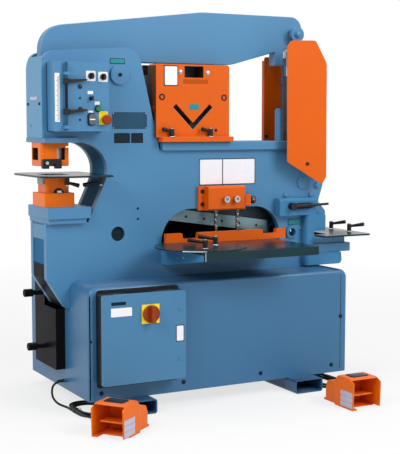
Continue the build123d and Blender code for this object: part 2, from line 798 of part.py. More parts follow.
def frame_plates():
    """Front and rear plate with their pin bores, access hole and bar hole."""
    front = FRAME_Y - OVER
    back = FRONT_IN + OVER
    plate = slab_y(plate_outline(), FRAME_Y, FRONT_IN) - slab_y(arch_outline(), front, back)
    plate -= bar_y(TOWER_PIN_R + RUN_FIT, *TOWER_PIVOT, front, back)
    plate -= bar_y(ARM_PIN_R + RUN_FIT, *ARM_PIVOT, front, back)
    plate -= bar_y(ACCESS_R, *ACCESS_HOLE, front, back)
    plate -= bar_y(BAR_HOLE_R, *BAR_HOLE, front, back)
    for hole in SMALL_HOLES:
        plate -= bar_y(SMALL_HOLE_R, *hole, front, FRAME_Y + PLATE_T / 2)
    return [plate, mirror_y(plate)]


def collar(center, radius, bore, y0, y1):
    """A spacing collar on a pin."""
    return bar_y(radius, *center, y0, y1) - bar_y(bore + RUN_FIT, *center, y0 - OVER, y1 + OVER)


def cylinder_foot():
    """Block between the plates with two ears for the beam cylinder's foot pin."""
    x = BEAM_PIN[0]
    foot = box(FOOT_LEFT, x + EAR_R, FRONT_IN, REAR_IN, LEDGE_SEAT - FOOT_H, LEDGE_SEAT)
    front = MID_Y - EAR_OUT
    ear = slot_link((x, LEDGE_SEAT - FOOT_H / 2), (x, CYL_FOOT_Z), EAR_R, front, front + EAR_T)
    ear -= bar_y(CYL_PIN_R + RUN_FIT, x, CYL_FOOT_Z, FRONT_IN, REAR_IN)
    return foot + ear + mirror_y(ear)


def throat_liner():
    """Bent plate along the throat's edge that closes the gap between the frame plates."""
    lean = (THROAT_IN - JAW_IN) / (THROAT_TOP - JAW_TOP)
    top = THROAT_TOP + LINER_T
    foot = JAW_IN + LINER_T * hypot(1, lean)
    corner = foot + lean * (top - JAW_TOP)
    outer = outline([(foot, JAW_TOP, 0), (corner, top, THROAT_R + LINER_T), (SEAT_X, top, 0)])
    inner = outline([(JAW_IN, JAW_TOP, 0), (THROAT_IN, THROAT_TOP, THROAT_R), (SEAT_X, THROAT_TOP, 0)])
    return slab_y(outer, FRONT_IN, REAR_IN) - slab_y(inner, FRONT_IN - OVER, REAR_IN + OVER)


def frame_spacers():
    """Blocks, collars and brackets between the plates, the throat liner, the cheeks and the bar bush."""
    left, right, low = JAW_BLOCK
    jaw = box(left, right, FRONT_IN, REAR_IN, low, JAW_TOP)
    jaw -= bar_z(SLUG_R, PUNCH_X, MID_Y, low - OVER, JAW_TOP + OVER)
    left, right, low, top = TOWER_BLOCK
    tower = box(left, right, FRONT_IN, REAR_IN, low, top)
    sole = box(LEG_LEFT + SOLE_INSET, LEG_RIGHT - SOLE_INSET, FRONT_IN, REAR_IN, CAB_FLOOR,
               CAB_FLOOR + SOLE_H)
    blade_seat = box(ARCH_LEFT + SEAT_GAP, ARCH_RIGHT - SEAT_GAP, FRONT_IN, LOWER_BLADE_REAR, SEAT_LOW,
                     LOWER_BLADE_FOOT)
    guide = box(LINK_FOOT[0] + RAM_HALF + SLIDE_GAP, GUIDE_RIGHT, FRONT_IN, REAR_IN, NOTCH_TOP + GUIDE_UP,
                GUIDE_TOP)
    pieces = [jaw, tower, sole, blade_seat, guide, cylinder_foot(), throat_liner()]
    for y0, y1 in ((FRONT_IN, BEAM_FRONT - SLIDE_GAP), (BEAM_REAR + SLIDE_GAP, REAR_IN)):
        pieces.append(collar(TOWER_PIVOT, TOWER_COLLAR_R, TOWER_PIN_R, y0, y1))
    for y0, y1 in ((FRONT_IN, ARM_FRONT - SLIDE_GAP), (ARM_REAR + SLIDE_GAP, REAR_IN)):
        pieces.append(collar(ARM_PIVOT, ARM_COLLAR_R, ARM_PIN_R, y0, y1))
    cheek = notcher_cheek()
    return pieces + [cheek + notcher_cover(), bar_bush(), mirror_y(cheek)]


def notcher_cheek():
    """C-shaped side plate of the notcher with a rounded front upright."""
    low = CAB_TOP + CHEEK_UP
    face = outline([(CHEEK_LEFT, low, 0), (CHEEK_LEFT, CHEEK_TOP, 0), (CHEEK_RIGHT, CHEEK_TOP, 8),
                    (CHEEK_RIGHT, NOTCH_TOP, 4), (NOTCH_X, NOTCH_TOP, LIP_R), (NOTCH_X, NOTCH_Z, 0),
                    (LIP_X, NOTCH_Z, LIP_R), (LIP_FOOT_X, low, 20)])
    cheek = slab_y(face, CHEEK_FRONT, FRAME_Y)
    return fillet(edges_along(cheek, Axis.Z, {"X": CHEEK_LEFT, "Y": CHEEK_FRONT}), CHEEK_T / 2)


def notcher_cover():
    """Cover block over the notcher cheek that carries the toggle lever."""
    left, right, top = COVER
    cover = box(left, right, CHEEK_FRONT, FRAME_Y, CHEEK_TOP, top)
    cover = chamfer(edges_along(cover, Axis.X, {"Y": CHEEK_FRONT, "Z": top}), COVER_EDGE)
    return cover - bar_y(SHAFT_R + SLIDE_GAP, *TOGGLE_PIVOT, CHEEK_FRONT - OVER, FRAME_Y)


def bar_bush():
    """Bush plate round the bar hole, cut flat under it."""
    x, z = BAR_HOLE
    front = FRAME_Y - BUSH_T
    bush = bar_y(BUSH_R, x, z, front, FRAME_Y) - bar_y(BAR_HOLE_R, x, z, front - OVER, FRAME_Y + OVER)
    flat = z - BAR_HOLE_R - BUSH_WEB
    return bush - box(x - BUSH_R, x + BUSH_R, front - OVER, FRAME_Y + OVER, z - BUSH_R - OVER, flat)


def bolsters():
    """Lower bolster block, upper bolster plate, ledge plate and the stop post on it."""
    block = box(JAW_LEFT, BOLSTER_RIGHT, FRAME_Y - BOLSTER_OUT, REAR_OUT + BOLSTER_OUT, BOLSTER_LOW,
                BOLSTER_TOP)
    block = chamfer(block.edges().filter_by(Axis.Z), BOLSTER_EDGE)
    left, right, out = BOLSTER_NECK
    block += box(left, right, FRAME_Y - out, REAR_OUT + out, JAW_TOP, BOLSTER_LOW + OVER)
    block -= bar_z(SLUG_R, PUNCH_X, MID_Y, JAW_TOP - OVER, BOLSTER_TOP + OVER)
    upper = box(TOWER_LEFT - 2, SEAT_X, FRAME_Y - BOLSTER_PLATE_OUT, REAR_OUT + BOLSTER_PLATE_OUT, THROAT_TOP,
                TOWER_SEAT)
    upper -= bar_z(RAM_R + SLIDE_GAP, PUNCH_X, MID_Y, THROAT_TOP - OVER, TOWER_SEAT + OVER)
    ledge = box(LEDGE_LEFT, LEDGE_RIGHT, FRAME_Y - LEDGE_OUT, REAR_OUT + LEDGE_OUT, LEDGE_SEAT, LEDGE_TOP)
    ledge = chamfer(ledge.edges().group_by(Axis.Z)[-1].filter_by(Axis.X), LEDGE_EDGE)
    ledge += bar_z(POST_R, *POST, LEDGE_TOP - OVER, POST_TOP)
    ledge += bar_z(POST_TIP_R, *POST, POST_TOP - OVER, POST_TOP + POST_TIP_H)
    return [block, upper, ledge]


def capped_pin(center, radius, y0, y1, cap_radius, cap):
    """A pin along Y with a round cap on each end."""
    pin = bar_y(radius, *center, y0, y1)
    return pin + bar_y(cap_radius, *center, y0 - cap, y0) + bar_y(cap_radius, *center, y1, y1 + cap)


def pivot_pins():
    """Tower pin with its caps, arm pin and the cylinder's foot pin."""
    foot = BEAM_PIN[0], CYL_FOOT_Z
    head = CYL_PIN_R + CYL_PIN_HEAD
    return [capped_pin(TOWER_PIVOT, TOWER_PIN_R, FRAME_Y, REAR_OUT, TOWER_CAP_R, TOWER_CAP_T),
            capped_pin(ARM_PIVOT, ARM_PIN_R, FRAME_Y, REAR_OUT, ARM_CAP_R, ARM_CAP_T),
            capped_pin(foot, CYL_PIN_R, MID_Y - EAR_OUT, MID_Y + EAR_OUT, head, CYL_PIN_HEAD)]


def guard_sheets():
    """Sheet guards: before and behind the beam cylinder, and over the tower's end."""
    sheet_y = FRAME_Y - GUARD_AHEAD
    front = slab_y(outline(FRONT_GUARD), sheet_y, sheet_y + SHEET)
    x, deep, low, top = GUARD_RETURN
    front += box(x, x + SHEET, sheet_y + OVER, sheet_y + deep, low, top)
    for place in STANDOFFS:
        front += bar_y(STANDOFF_R, *place, sheet_y + OVER, FRAME_Y)
    rear = slab_y(outline(REAR_GUARD), REAR_OUT, REAR_OUT + SHEET)
    x = REAR_GUARD[0][0]
    deep, top = REAR_RETURN
    rear += box(x, x + SHEET, REAR_OUT + OVER, REAR_OUT + deep, LEDGE_TOP, top)
    end_face = outline([(FRAME_Y, TOWER_SEAT, 0), (REAR_OUT, TOWER_SEAT, 0), (REAR_OUT, END_TOP, END_REAR_R),
                        (FRAME_Y, END_TOP, END_FRONT_R)])
    end = slab_x(end_face, TOWER_LEFT - 2 * SHEET, TOWER_LEFT)
    end -= bar_x(END_HOLE_R, MID_Y, END_HOLE_Z, TOWER_LEFT - 2 * SHEET - OVER, TOWER_LEFT + OVER)
    return [front, rear, end]


# Beam, links and shear arm


def beam():
    """Rocking beam: pivoted in the tower, driven at its right end."""
    body = slab_y(outline(BEAM_PROFILE), BEAM_FRONT, BEAM_REAR)
    left, right, low, top = BEAM_HEEL
    body += box(left, right, BEAM_FRONT, BEAM_REAR, low, top)
    body -= bar_y(TOWER_PIN_R + RUN_FIT, *TOWER_PIVOT, BEAM_FRONT - OVER, BEAM_REAR + OVER)
    body -= bar_y(BEAM_PIN_R + RUN_FIT, *BEAM_PIN, BEAM_FRONT - OVER, BEAM_REAR + OVER)
    return chamfer(body.edges().group_by(Axis.Z)[-1].filter_by(Axis.X), BEAM_EDGE)


def beam_links():
    """Two link plates with the beam pin fixed in them, down to the notcher's ram."""
    back = LINK_FRONT + LINK_T
    link = slot_link(BEAM_PIN, LINK_FOOT, LINK_R, LINK_FRONT, back)
    link += bar_y(LINK_HEAD_R, *BEAM_PIN, LINK_FRONT, back)
    link -= bar_y(LINK_PIN_R + OPEN_PIVOT, *LINK_FOOT, LINK_FRONT - OVER, back + OVER)
    return bar_y(BEAM_PIN_R, *BEAM_PIN, LINK_FRONT, REAR_IN - LINK_ROOM) + link + mirror_y(link)


def notch_ram():
    """Notcher ram with its cross pin in the links and its punch at the lower end."""
    x, z = LINK_FOOT
    half = PLATE_GAP / 2 - 2 * LINK_ROOM - LINK_T
    ram = box(x - RAM_HALF, x + RAM_HALF, MID_Y - half, MID_Y + half, NOTCH_RAM_LOW, z + NOTCH_RAM_UP)
    ram = chamfer(ram.edges().filter_by(Axis.Y), 4)
    half = NOTCH_PUNCH_HALF
    ram += box(x - RAM_HALF + NOTCH_PUNCH_BACK, x + RAM_HALF, MID_Y - half, MID_Y + half, NOTCH_PUNCH_LOW,
               NOTCH_RAM_LOW + OVER)
    pin_gap = LINK_ROOM + OVER
    return ram + bar_y(LINK_PIN_R, x, z, FRONT_IN + pin_gap, REAR_IN - pin_gap)


def blade_edge(x):
    """Height of the upper blade's cutting edge."""
    return BLADE_EDGE[1] - BLADE_SLOPE * (x - BLADE_EDGE[0])


def shear_arm():
    """Flat shear arm: an eye on the arm pin, a deep belly over the blade and a pad under the cylinder."""
    x, z = ARM_PIVOT
    toe, heel = ARM_PAD
    near, far = ARM_BELLY
    face = outline([(x + 20, z + 38, 18), (*ARM_BACK, 200), (heel, ARM_PAD_Z, 30), (toe, ARM_PAD_Z, 25),
                    (toe, ARM_TOE_LOW, 25), (near, blade_edge(near) + BLADE_LAP, 40),
                    (far, blade_edge(far) + BLADE_LAP, 30), (x + 30, z - 40, 18)])
    arm = slab_y(face, ARM_FRONT, ARM_REAR) + bar_y(ARM_EYE_R, x, z, ARM_FRONT, ARM_REAR)
    return arm - bar_y(ARM_PIN_R + RUN_FIT, x, z, ARM_FRONT - OVER, ARM_REAR + OVER)


def upper_blade():
    """Sloping upper blade on the arm's front face."""
    low, high = blade_edge(BLADE_LEFT), blade_edge(BLADE_RIGHT)
    face = outline([(BLADE_LEFT, low, 0), (BLADE_LEFT, low + BLADE_H, 0), (BLADE_RIGHT, high + BLADE_H, 0),
                    (BLADE_RIGHT, high, 0)])
    return slab_y(face, UPPER_BLADE_FRONT, ARM_FRONT)


# Cylinders


def beam_cylinder_barrel():
    """Barrel with a foot eye, a bore and a rod gland."""
    x = BEAM_PIN[0]
    bore_low = BARREL_BOTTOM + BARREL_BASE
    wider, ring = BARREL_RING
    body = bar_z(BARREL_R, x, MID_Y, BARREL_BOTTOM, BARREL_TOP)
    body += bar_z(BARREL_R + wider, x, MID_Y, BARREL_TOP - ring, BARREL_TOP)
    body -= bar_z(BARREL_R - BARREL_WALL, x, MID_Y, bore_low, BARREL_TOP - ROD_GLAND_T)
    body -= bar_z(ROD_R + RUN_FIT, x, MID_Y, bore_low, BARREL_TOP + OVER)
    half = BARREL_EYE_T / 2
    eye = slot_link((x, CYL_FOOT_Z), (x, BARREL_BOTTOM), EAR_R, MID_Y - half, MID_Y + half)
    eye -= box(x - BARREL_R, x + BARREL_R, FRONT_IN, REAR_IN, BARREL_BOTTOM + BARREL_BASE / 2, BARREL_TOP)
    return body + eye - bar_y(CYL_PIN_R + RUN_FIT, x, CYL_FOOT_Z, FRONT_IN, REAR_IN)


def beam_cylinder_rod():
    """Piston rod with a fork round the beam's end."""
    x, z = BEAM_PIN
    base = z - FORK_DOWN
    rod = bar_z(ROD_R, x, MID_Y, PISTON_LOW, base - FORK_BASE / 2)
    rod += bar_z(BARREL_R - BARREL_WALL - 2 * RUN_FIT, x, MID_Y, PISTON_LOW, PISTON_LOW + PISTON_H)
    front = BEAM_FRONT - SEAT_GAP - FORK_T
    rod += box(x - FORK_R, x + FORK_R, front, 2 * MID_Y - front, base - FORK_BASE, base)
    ear = slot_link((x, base), BEAM_PIN, FORK_R, front, BEAM_FRONT - SEAT_GAP)
    ear -= bar_y(BEAM_PIN_R + OPEN_PIVOT, x, z, FRONT_IN, REAR_IN)
    return rod + ear + mirror_y(ear)


def fixed_cylinders():
    """The punch cylinder block in the tower and the shear cylinder behind the throat."""
    punch = box(PUNCH_X - PUNCH_CYL_HALF, PUNCH_X + PUNCH_CYL_HALF, FRONT_IN, REAR_IN, TOWER_SEAT,
                PUNCH_CYL_TOP)
    punch -= bar_z(RAM_R + RUN_FIT, PUNCH_X, MID_Y, TOWER_SEAT - OVER, PUNCH_BORE_TOP)
    shear = bar_z(SHEAR_BARREL_R, SHEAR_CYL_X, MID_Y, SHEAR_CYL_BOTTOM, SHEAR_CYL_TOP)
    for z in (SHEAR_CYL_BOTTOM, SHEAR_CYL_TOP - SHEAR_FLANGE_H):
        shear += box(SHEAR_CYL_X - SHEAR_FLANGE_HALF, SHEAR_CYL_X + SHEAR_FLANGE_HALF, FRONT_IN, REAR_IN,
                     z, z + SHEAR_FLANGE_H)
    shear -= bar_z(SHEAR_ROD_R + RUN_FIT, SHEAR_CYL_X, MID_Y, SHEAR_CYL_BOTTOM - OVER,
                   SHEAR_CYL_TOP - SHEAR_HEAD_T)
    return [punch, shear]


def shear_cylinder_rod():
    """Plunger that presses on the arm's pad with a domed end."""
    low = ARM_PAD_Z + SLIDE_GAP + SHEAR_ROD_R
    rod = bar_z(SHEAR_ROD_R, SHEAR_CYL_X, MID_Y, low, SHEAR_CYL_TOP - SHEAR_HEAD_T - 5)
    return rod + Pos(SHEAR_CYL_X, MID_Y, low) * Sphere(SHEAR_ROD_R)


# Punch station


def punch_ram():
    """Ram with the coupling nut and punch, and the stroke rod that follows it."""
    ram = bar_z(RAM_R, PUNCH_X, MID_Y, RAM_LOW, RAM_TOP)
    ram += bar_z(NUT_R, PUNCH_X, MID_Y, NUT_LOW, RAM_LOW + OVER)
    ram += bar_z(PUNCH_R, PUNCH_X, MID_Y, PUNCH_LOW, NUT_LOW + OVER)
    rod = bar_z(STROKE_ROD_R, STROKE_ROD_X, STROKE_ROD_Y, BOX_BOTTOM + STROKE_ROD_UP, BOX_TOP - OVER)
    return [ram, rod]


def stripper():
    """Orange stripper block under the upper bolster plate, with two windows and a clamp slot."""
    floor = STRIPPER_LOW + STRIPPER_FLOOR
    right_face = PUNCH_X + STRIPPER_RIGHT
    front = MID_Y - STRIPPER_HALF
    block = box(PUNCH_X - STRIPPER_LEFT, right_face, front, MID_Y + STRIPPER_HALF, STRIPPER_LOW, THROAT_TOP)
    block = chamfer(block.edges().filter_by(Axis.Z), STRIPPER_EDGE)
    block -= bar_z(RAM_R + STRIPPER_ROOM, PUNCH_X, MID_Y, floor, THROAT_TOP + OVER)
    block -= bar_z(NUT_R + STRIPPER_ROOM - OVER, PUNCH_X, MID_Y, STRIPPER_LOW - OVER, floor + OVER)
    left, right, up, down = WINDOW
    window = box(PUNCH_X - left, PUNCH_X + right, front - OVER, MID_Y, STRIPPER_LOW + up, THROAT_TOP - down)
    block -= fillet(window.edges().filter_by(Axis.Y), STRIPPER_EDGE / 2)
    ahead, behind, up, down = SIDE_WINDOW
    window = box(PUNCH_X - STRIPPER_LEFT - OVER, PUNCH_X, MID_Y - ahead, MID_Y + behind, STRIPPER_LOW + up,
                 THROAT_TOP - down)
    block -= fillet(window.edges().filter_by(Axis.X), STRIPPER_EDGE / 2)
    deep, down, high = CLAMP_SLOT
    slot_low = THROAT_TOP - down
    return block - box(right_face - deep, right_face + OVER, front - OVER, MID_Y + STRIPPER_HALF + OVER,
                       slot_low, slot_low + high)


def die_tooling():
    """The die in its holder and the stripper's fork foot."""
    low = HOLDER_TOP - DIE_DEEP
    die = bar_z(DIE_R, PUNCH_X, MID_Y, low, DIE_TOP)
    die -= bar_z(PUNCH_R + DIE_GAP, PUNCH_X, MID_Y, low - OVER, DIE_TOP + OVER)
    deep, under, top = FOOT_FORK
    left, right, up = FORK_SLOT
    back = MID_Y - STRIPPER_HALF
    foot = box(PUNCH_X - STRIPPER_LEFT, PUNCH_X + STRIPPER_EDGE, back - deep, back, STRIPPER_LOW - under,
               STRIPPER_LOW + top)
    foot = fillet(foot.edges().filter_by(Axis.Y), 6)
    foot -= box(PUNCH_X - left, PUNCH_X - right, back - deep - OVER, back + OVER, STRIPPER_LOW - under - OVER,
                STRIPPER_LOW + up)
    return [die, foot]


def die_holder():
    """Orange die holder on the bolster with a pocket for the die and a slug bore."""
    wide, deep, top = HOLDER_BASE
    base = box(PUNCH_X - wide, PUNCH_X + wide, MID_Y - deep, MID_Y + deep, BOLSTER_TOP, top)
    base = chamfer(base.edges().filter_by(Axis.Z), 5)
    wide, deep = HOLDER_UPPER
    upper = box(PUNCH_X - wide, PUNCH_X + wide, MID_Y - deep, MID_Y + deep, top - OVER, HOLDER_TOP)
    upper = fillet(upper.edges().filter_by(Axis.Z), HOLDER_R)
    holder = base + chamfer(upper.edges().group_by(Axis.Z)[-1], HOLDER_EDGE)
    holder -= bar_z(SLUG_R, PUNCH_X, MID_Y, BOLSTER_TOP - OVER, HOLDER_TOP)
    return holder - bar_z(DIE_R + RUN_FIT, PUNCH_X, MID_Y, HOLDER_TOP - DIE_DEEP, HOLDER_TOP + OVER)


def punch_table():
    """Thin table round the die, on two bracket plates against the holder's sides."""
    front = PUNCH_TABLE_FRONT
    face = outline([(PUNCH_TABLE_LEFT, front + 40, 60), (PUNCH_TABLE_LEFT + 30, front, 20),
                    (PUNCH_TABLE_RIGHT, front, 25), (PUNCH_TABLE_RIGHT, PUNCH_TABLE_REAR, 25),
                    (PUNCH_TABLE_LEFT, PUNCH_TABLE_REAR, 60)])
    table = slab_z(face, PUNCH_TABLE_LOW, PUNCH_TABLE_TOP)
    wide, deep, radius = TABLE_HOLE
    hole = box(PUNCH_X - wide, PUNCH_X + wide, MID_Y - deep, MID_Y + deep, PUNCH_TABLE_LOW - OVER,
               PUNCH_TABLE_TOP + OVER)
    table -= fillet(hole.edges().filter_by(Axis.Z), radius)
    thick, half, down = TABLE_BRACKET
    side = HOLDER_UPPER[0]
    for x in (PUNCH_X - side - thick, PUNCH_X + side):
        table += box(x, x + thick, MID_Y - half, MID_Y + half, PUNCH_TABLE_LOW - down,
                     PUNCH_TABLE_LOW + OVER)
    for x, y, turn, length, side in PUNCH_LEVERS:
        table -= bar_z(SHAFT_R + SLIDE_GAP, x, y, PUNCH_TABLE_LOW - OVER, PUNCH_TABLE_TOP + OVER)
    return table


def lever(length, rise, stud):
    """Clamping lever: hub on the Z axis at the origin, stud below it, tapered handle along X."""
    thin, thick = LEVER_ARM_R
    hub = bar_z(LEVER_HUB_R, 0, 0, SLIDE_GAP, LEVER_HUB_H) + bar_z(SHAFT_R, 0, 0, -stud, OVER)
    foot = Align.CENTER, Align.CENTER, Align.MIN
    handle = Cone(thin, thick, hypot(length, rise) + 4, align=foot)
    handle = chamfer(handle.edges().group_by(Axis.Z)[-1], 3)
    return hub + Plane(origin=(4, 0, LEVER_ARM_UP), x_dir=(0, 1, 0), z_dir=(length, 0, rise)) * handle


def punch_lever(x, y, turn, length):
    """A clamp lever hanging under the punch table."""
    along = Vector(1, 0, 0).rotate(Axis.Z, turn)
    hung = Plane(origin=(x, y, PUNCH_TABLE_LOW), x_dir=along, z_dir=(0, 0, -1))
    return hung * lever(length, LEVER_RISE, TABLE_T - SLIDE_GAP)


# Operator box


def control_box():
    """Folded operator box on the frame's front with two guides for the stroke rod."""
    shell = box(BOX_LEFT, BOX_RIGHT, BOX_FRONT, FRAME_Y, BOX_BOTTOM, BOX_TOP)
    shell = fillet(shell.edges().filter_by(Axis.Y), BOX_R)
    shell -= box(BOX_LEFT + SHEET, BOX_RIGHT - SHEET, BOX_FRONT + SHEET, FRAME_Y + OVER, BOX_BOTTOM + SHEET,
                 BOX_TOP - SHEET)
    for x, z in [place[:2] for place in SELECTORS] + [START, TWIN, STOP]:
        shell -= bar_y(SHAFT_R + SLIDE_GAP, x, z, BOX_FRONT - OVER, BOX_FRONT + SHEET + OVER)
    for z in GUIDES:
        guide = box(STROKE_ROD_X - GUIDE_HALF, STROKE_ROD_X + GUIDE_HALF, STROKE_ROD_Y - GUIDE_HALF,
                    BOX_FRONT + OVER, z, z + GUIDE_H)
        shell += guide - bar_z(STROKE_ROD_R + RUN_FIT, STROKE_ROD_X, STROKE_ROD_Y, z - OVER,
                               z + GUIDE_H + OVER)
    return shell


def stroke_collar(z):
    """Split collar on the stroke rod with a tapered trip finger."""
    ring = bar_z(COLLAR_R, STROKE_ROD_X, STROKE_ROD_Y, z - COLLAR_HALF, z + COLLAR_HALF)
    root = STROKE_ROD_X + STROKE_ROD_R + 2
    face = outline([(root, z - FINGER_HALF, 0), (root, z + FINGER_HALF, 0), (FINGER_END, z + COLLAR_HALF, 2),
                    (FINGER_END, z + COLLAR_HALF / 3, 2)])
    ring += slab_y(face, STROKE_ROD_Y - FINGER_T / 2, STROKE_ROD_Y + FINGER_T / 2)
    return ring - bar_z(STROKE_ROD_R + RUN_FIT, STROKE_ROD_X, STROKE_ROD_Y, z - COLLAR_HALF - OVER,
                        z + COLLAR_HALF + OVER)


def panel_shaft(x, z):
    """Shaft of an operator through the panel."""
    return bar_y(SHAFT_R, x, z, BOX_FRONT - BUTTON_LIFT - OVER, BOX_FRONT + SHEET + SHAFT_IN)


def selector(x, z, size):
    """Selector knob: bezel disc with a grip bar."""
    face = BOX_FRONT - SLIDE_GAP
    bezel = face - BEZEL_T
    knob = bar_y(size, x, z, bezel, face)
    knob += box(x - GRIP_HALF, x + GRIP_HALF, bezel - GRIP_T, bezel + OVER, z - size, z + size)
    return knob + panel_shaft(x, z)


def start_button():
    """Round push button."""
    face = BOX_FRONT - BUTTON_LIFT
    return bar_y(START_R, *START, face - BUTTON_T, face) + panel_shaft(*START)


def twin_button():
    """Two-ended rocker button on one bezel."""
    x, z = TWIN
    wide, high = TWIN_HALF
    face = BOX_FRONT - BUTTON_LIFT
    cap = outline([(x - wide, z - high, 12), (x - wide, z + high, 12), (x + wide, z + high, 12),
                   (x + wide, z - high, 12)])
    return slab_y(cap, face - BUTTON_T, face) + panel_shaft(x, z)


def emergency_stop():
    """Mushroom head on its collar and shaft."""
    face = BOX_FRONT - BUTTON_LIFT
    neck = face - STOP_NECK_T
    head = bar_y(STOP_R, *STOP, neck - STOP_HEAD_T, neck)
    head = fillet(head.edges().group_by(Axis.Y)[0], STOP_CROWN_R)
    return head + bar_y(STOP_NECK_R, *STOP, neck - OVER, face) + panel_shaft(*STOP)


# Angle shear


def v_slot():
    """The angle profile's opening through the box."""
    x, z = V_APEX
    leg = V_LEG / sqrt(2)
    wide = V_WIDE * sqrt(2)
    points = [(x, z), (x + leg, z + leg), (x + leg - wide / 2, z + leg + wide / 2), (x, z + wide),
              (x - leg + wide / 2, z + leg + wide / 2), (x - leg, z + leg)]
    return outline([(*point, V_CORNER_R) for point in points])


def angle_shear_box():
    """Angle shear housing on the ledge: flange, blade well, profile slot and a window to the pusher."""
    body = box(ANGLE_LEFT, ANGLE_RIGHT, ANGLE_FRONT, ANGLE_REAR, LEDGE_TOP + ANGLE_LIFT, ANGLE_TOP)
    top_edges = edges_along(body, Axis.Y, {"X": ANGLE_LEFT, "Z": ANGLE_TOP},
                            {"X": ANGLE_RIGHT, "Z": ANGLE_TOP})
    body = chamfer(top_edges, ANGLE_EDGE)
    left, right, out, high = FLANGE
    body += box(left, right, FRAME_Y - out, REAR_OUT + out, LEDGE_TOP, LEDGE_TOP + high)
    body -= slab_y(v_slot(), FRAME_Y - out - OVER, REAR_OUT + out + OVER)
    x, z, foot = TOWER_SLOPE
    slope = outline([(x, z, 0), (x, LEDGE_TOP, 0), (foot, LEDGE_TOP, 0)])
    body -= slab_y(slope, FRAME_Y - SEAT_GAP, REAR_OUT + SEAT_GAP)
    front = MID_Y - WELL_T / 2
    rear = MID_Y + WELL_T / 2
    body -= box(PUSHER_X - WELL_HALF, PUSHER_X + WELL_HALF, front, rear, LEDGE_TOP + WELL_UP, WELL_TOP)
    body -= box(PUSHER_X - STEM_HALF, PUSHER_X + STEM_HALF, front, rear, WELL_TOP - OVER, ANGLE_TOP + OVER)
    body -= box(ANGLE_LEFT - OVER, ANGLE_RIGHT + OVER, BEAM_FRONT - BEAM_ROOM, BEAM_REAR + BEAM_ROOM,
                ANGLE_SLOT_LOW, ANGLE_TOP + OVER)
    low, down = ANGLE_WINDOW
    body -= box(PUSHER_X - STEM_HALF, PUSHER_X + STEM_HALF, ANGLE_FRONT - OVER, MID_Y, low, ANGLE_TOP - down)
    across, up, radius = V_RELIEF
    body -= bar_y(radius, V_APEX[0] + across, V_APEX[1] + up, FRAME_Y - out - OVER, REAR_OUT + out + OVER)
    top = LEDGE_TOP + high
    for x, side in ANGLE_CLAMPS:
        body -= bar_z(SHAFT_R + SLIDE_GAP, x, FRAME_Y - CLAMP_AHEAD, top - TABLE_T - OVER, top + OVER)
    return body


def angle_blade():
    """Moving angle blade with its V edge, guided stem and domed pusher under the beam."""
    tip, low, top = ANGLE_BLADE
    half = WELL_HALF - SLIDE_GAP
    face = outline([(PUSHER_X - half, low, 0), (PUSHER_X - half, top, 0), (PUSHER_X + half, top, 0),
                    (PUSHER_X + half, low, 0), (PUSHER_X, tip, 2)])
    deep = WELL_T / 2 - SLIDE_GAP
    stem = PUSHER_X - STEM_HALF + SLIDE_GAP, PUSHER_X + STEM_HALF - SLIDE_GAP
    blade = slab_y(face, MID_Y - deep, MID_Y + deep)
    blade += box(*stem, MID_Y - deep, MID_Y + deep, top - OVER, STEM_TOP)
    center = PUSHER_TOP - PUSHER_R - OVER
    dome = bar_y(PUSHER_R, PUSHER_X, center, MID_Y - PUSHER_T / 2, MID_Y + PUSHER_T / 2)
    return blade + (dome & box(*stem, FRONT_IN, REAR_IN, STEM_TOP - STEM_HALF / 4, PUSHER_TOP))


def angle_clamp(x):
    """Clamp lever standing on the angle shear's flange."""
    place = Pos(x, FRAME_Y - CLAMP_AHEAD, LEDGE_TOP + FLANGE[3])
    return place * Rot(0, 0, CLAMP_TURN) * lever(CLAMP_LONG, CLAMP_RISE, TABLE_T)


# Flat shear


def hold_down_bracket():
    """Cast bracket for the two hold-down screws, with a nose and an adjusting knob."""
    ear, ear_t = HOLD_EAR
    body = box(HOLD_LEFT + ear - OVER, HOLD_RIGHT, HOLD_FRONT, FRAME_Y, HOLD_LOW, HOLD_TOP)
    body = chamfer(edges_along(body, Axis.X, {"Y": HOLD_FRONT, "Z": HOLD_TOP}), HOLD_CHAMFER)
    body = chamfer(edges_along(body, Axis.Z, {"X": HOLD_RIGHT, "Y": HOLD_FRONT}), HOLD_SIDE_CHAMFER)
    body = fillet(edges_along(body, Axis.X, {"Y": HOLD_FRONT, "Z": HOLD_LOW}), HOLD_FILLET)
    body += box(HOLD_LEFT, HOLD_LEFT + ear, FRAME_Y - ear_t, FRAME_Y, HOLD_LOW, HOLD_TOP)
    out, back, low, top = HOLD_NOSE
    nose = HOLD_RIGHT + out
    body += box(HOLD_RIGHT - OVER, nose, HOLD_FRONT + back, FRAME_Y, HOLD_LOW + low, HOLD_LOW + top)
    knob = HOLD_FRONT + HOLD_KNOB_BACK, HOLD_LOW + HOLD_KNOB_UP
    radius, long = HOLD_STEM
    body += bar_x(radius, *knob, nose - OVER, nose + long)
    body += bar_x(HOLD_KNOB[0], *knob, nose + long - OVER, nose + long + HOLD_KNOB[1])
    for x in HOLD_RODS:
        body -= bar_z(HOLD_ROD_R + RUN_FIT, x, HOLD_ROD_Y, HOLD_LOW - OVER, HOLD_TOP - HOLD_ROD_DOWN + 4)
    return body


def hold_down_screws():
    """The two hold-down screws with their swivel feet."""
    rods = []
    for x in HOLD_RODS:
        rod = bar_z(HOLD_ROD_R, x, HOLD_ROD_Y, HOLD_ROD_LOW, HOLD_TOP - HOLD_ROD_DOWN)
        rods.append(rod + bar_z(HOLD_FOOT_R, x, HOLD_ROD_Y, HOLD_ROD_LOW - HOLD_FOOT_H, HOLD_ROD_LOW + OVER))
    return rods


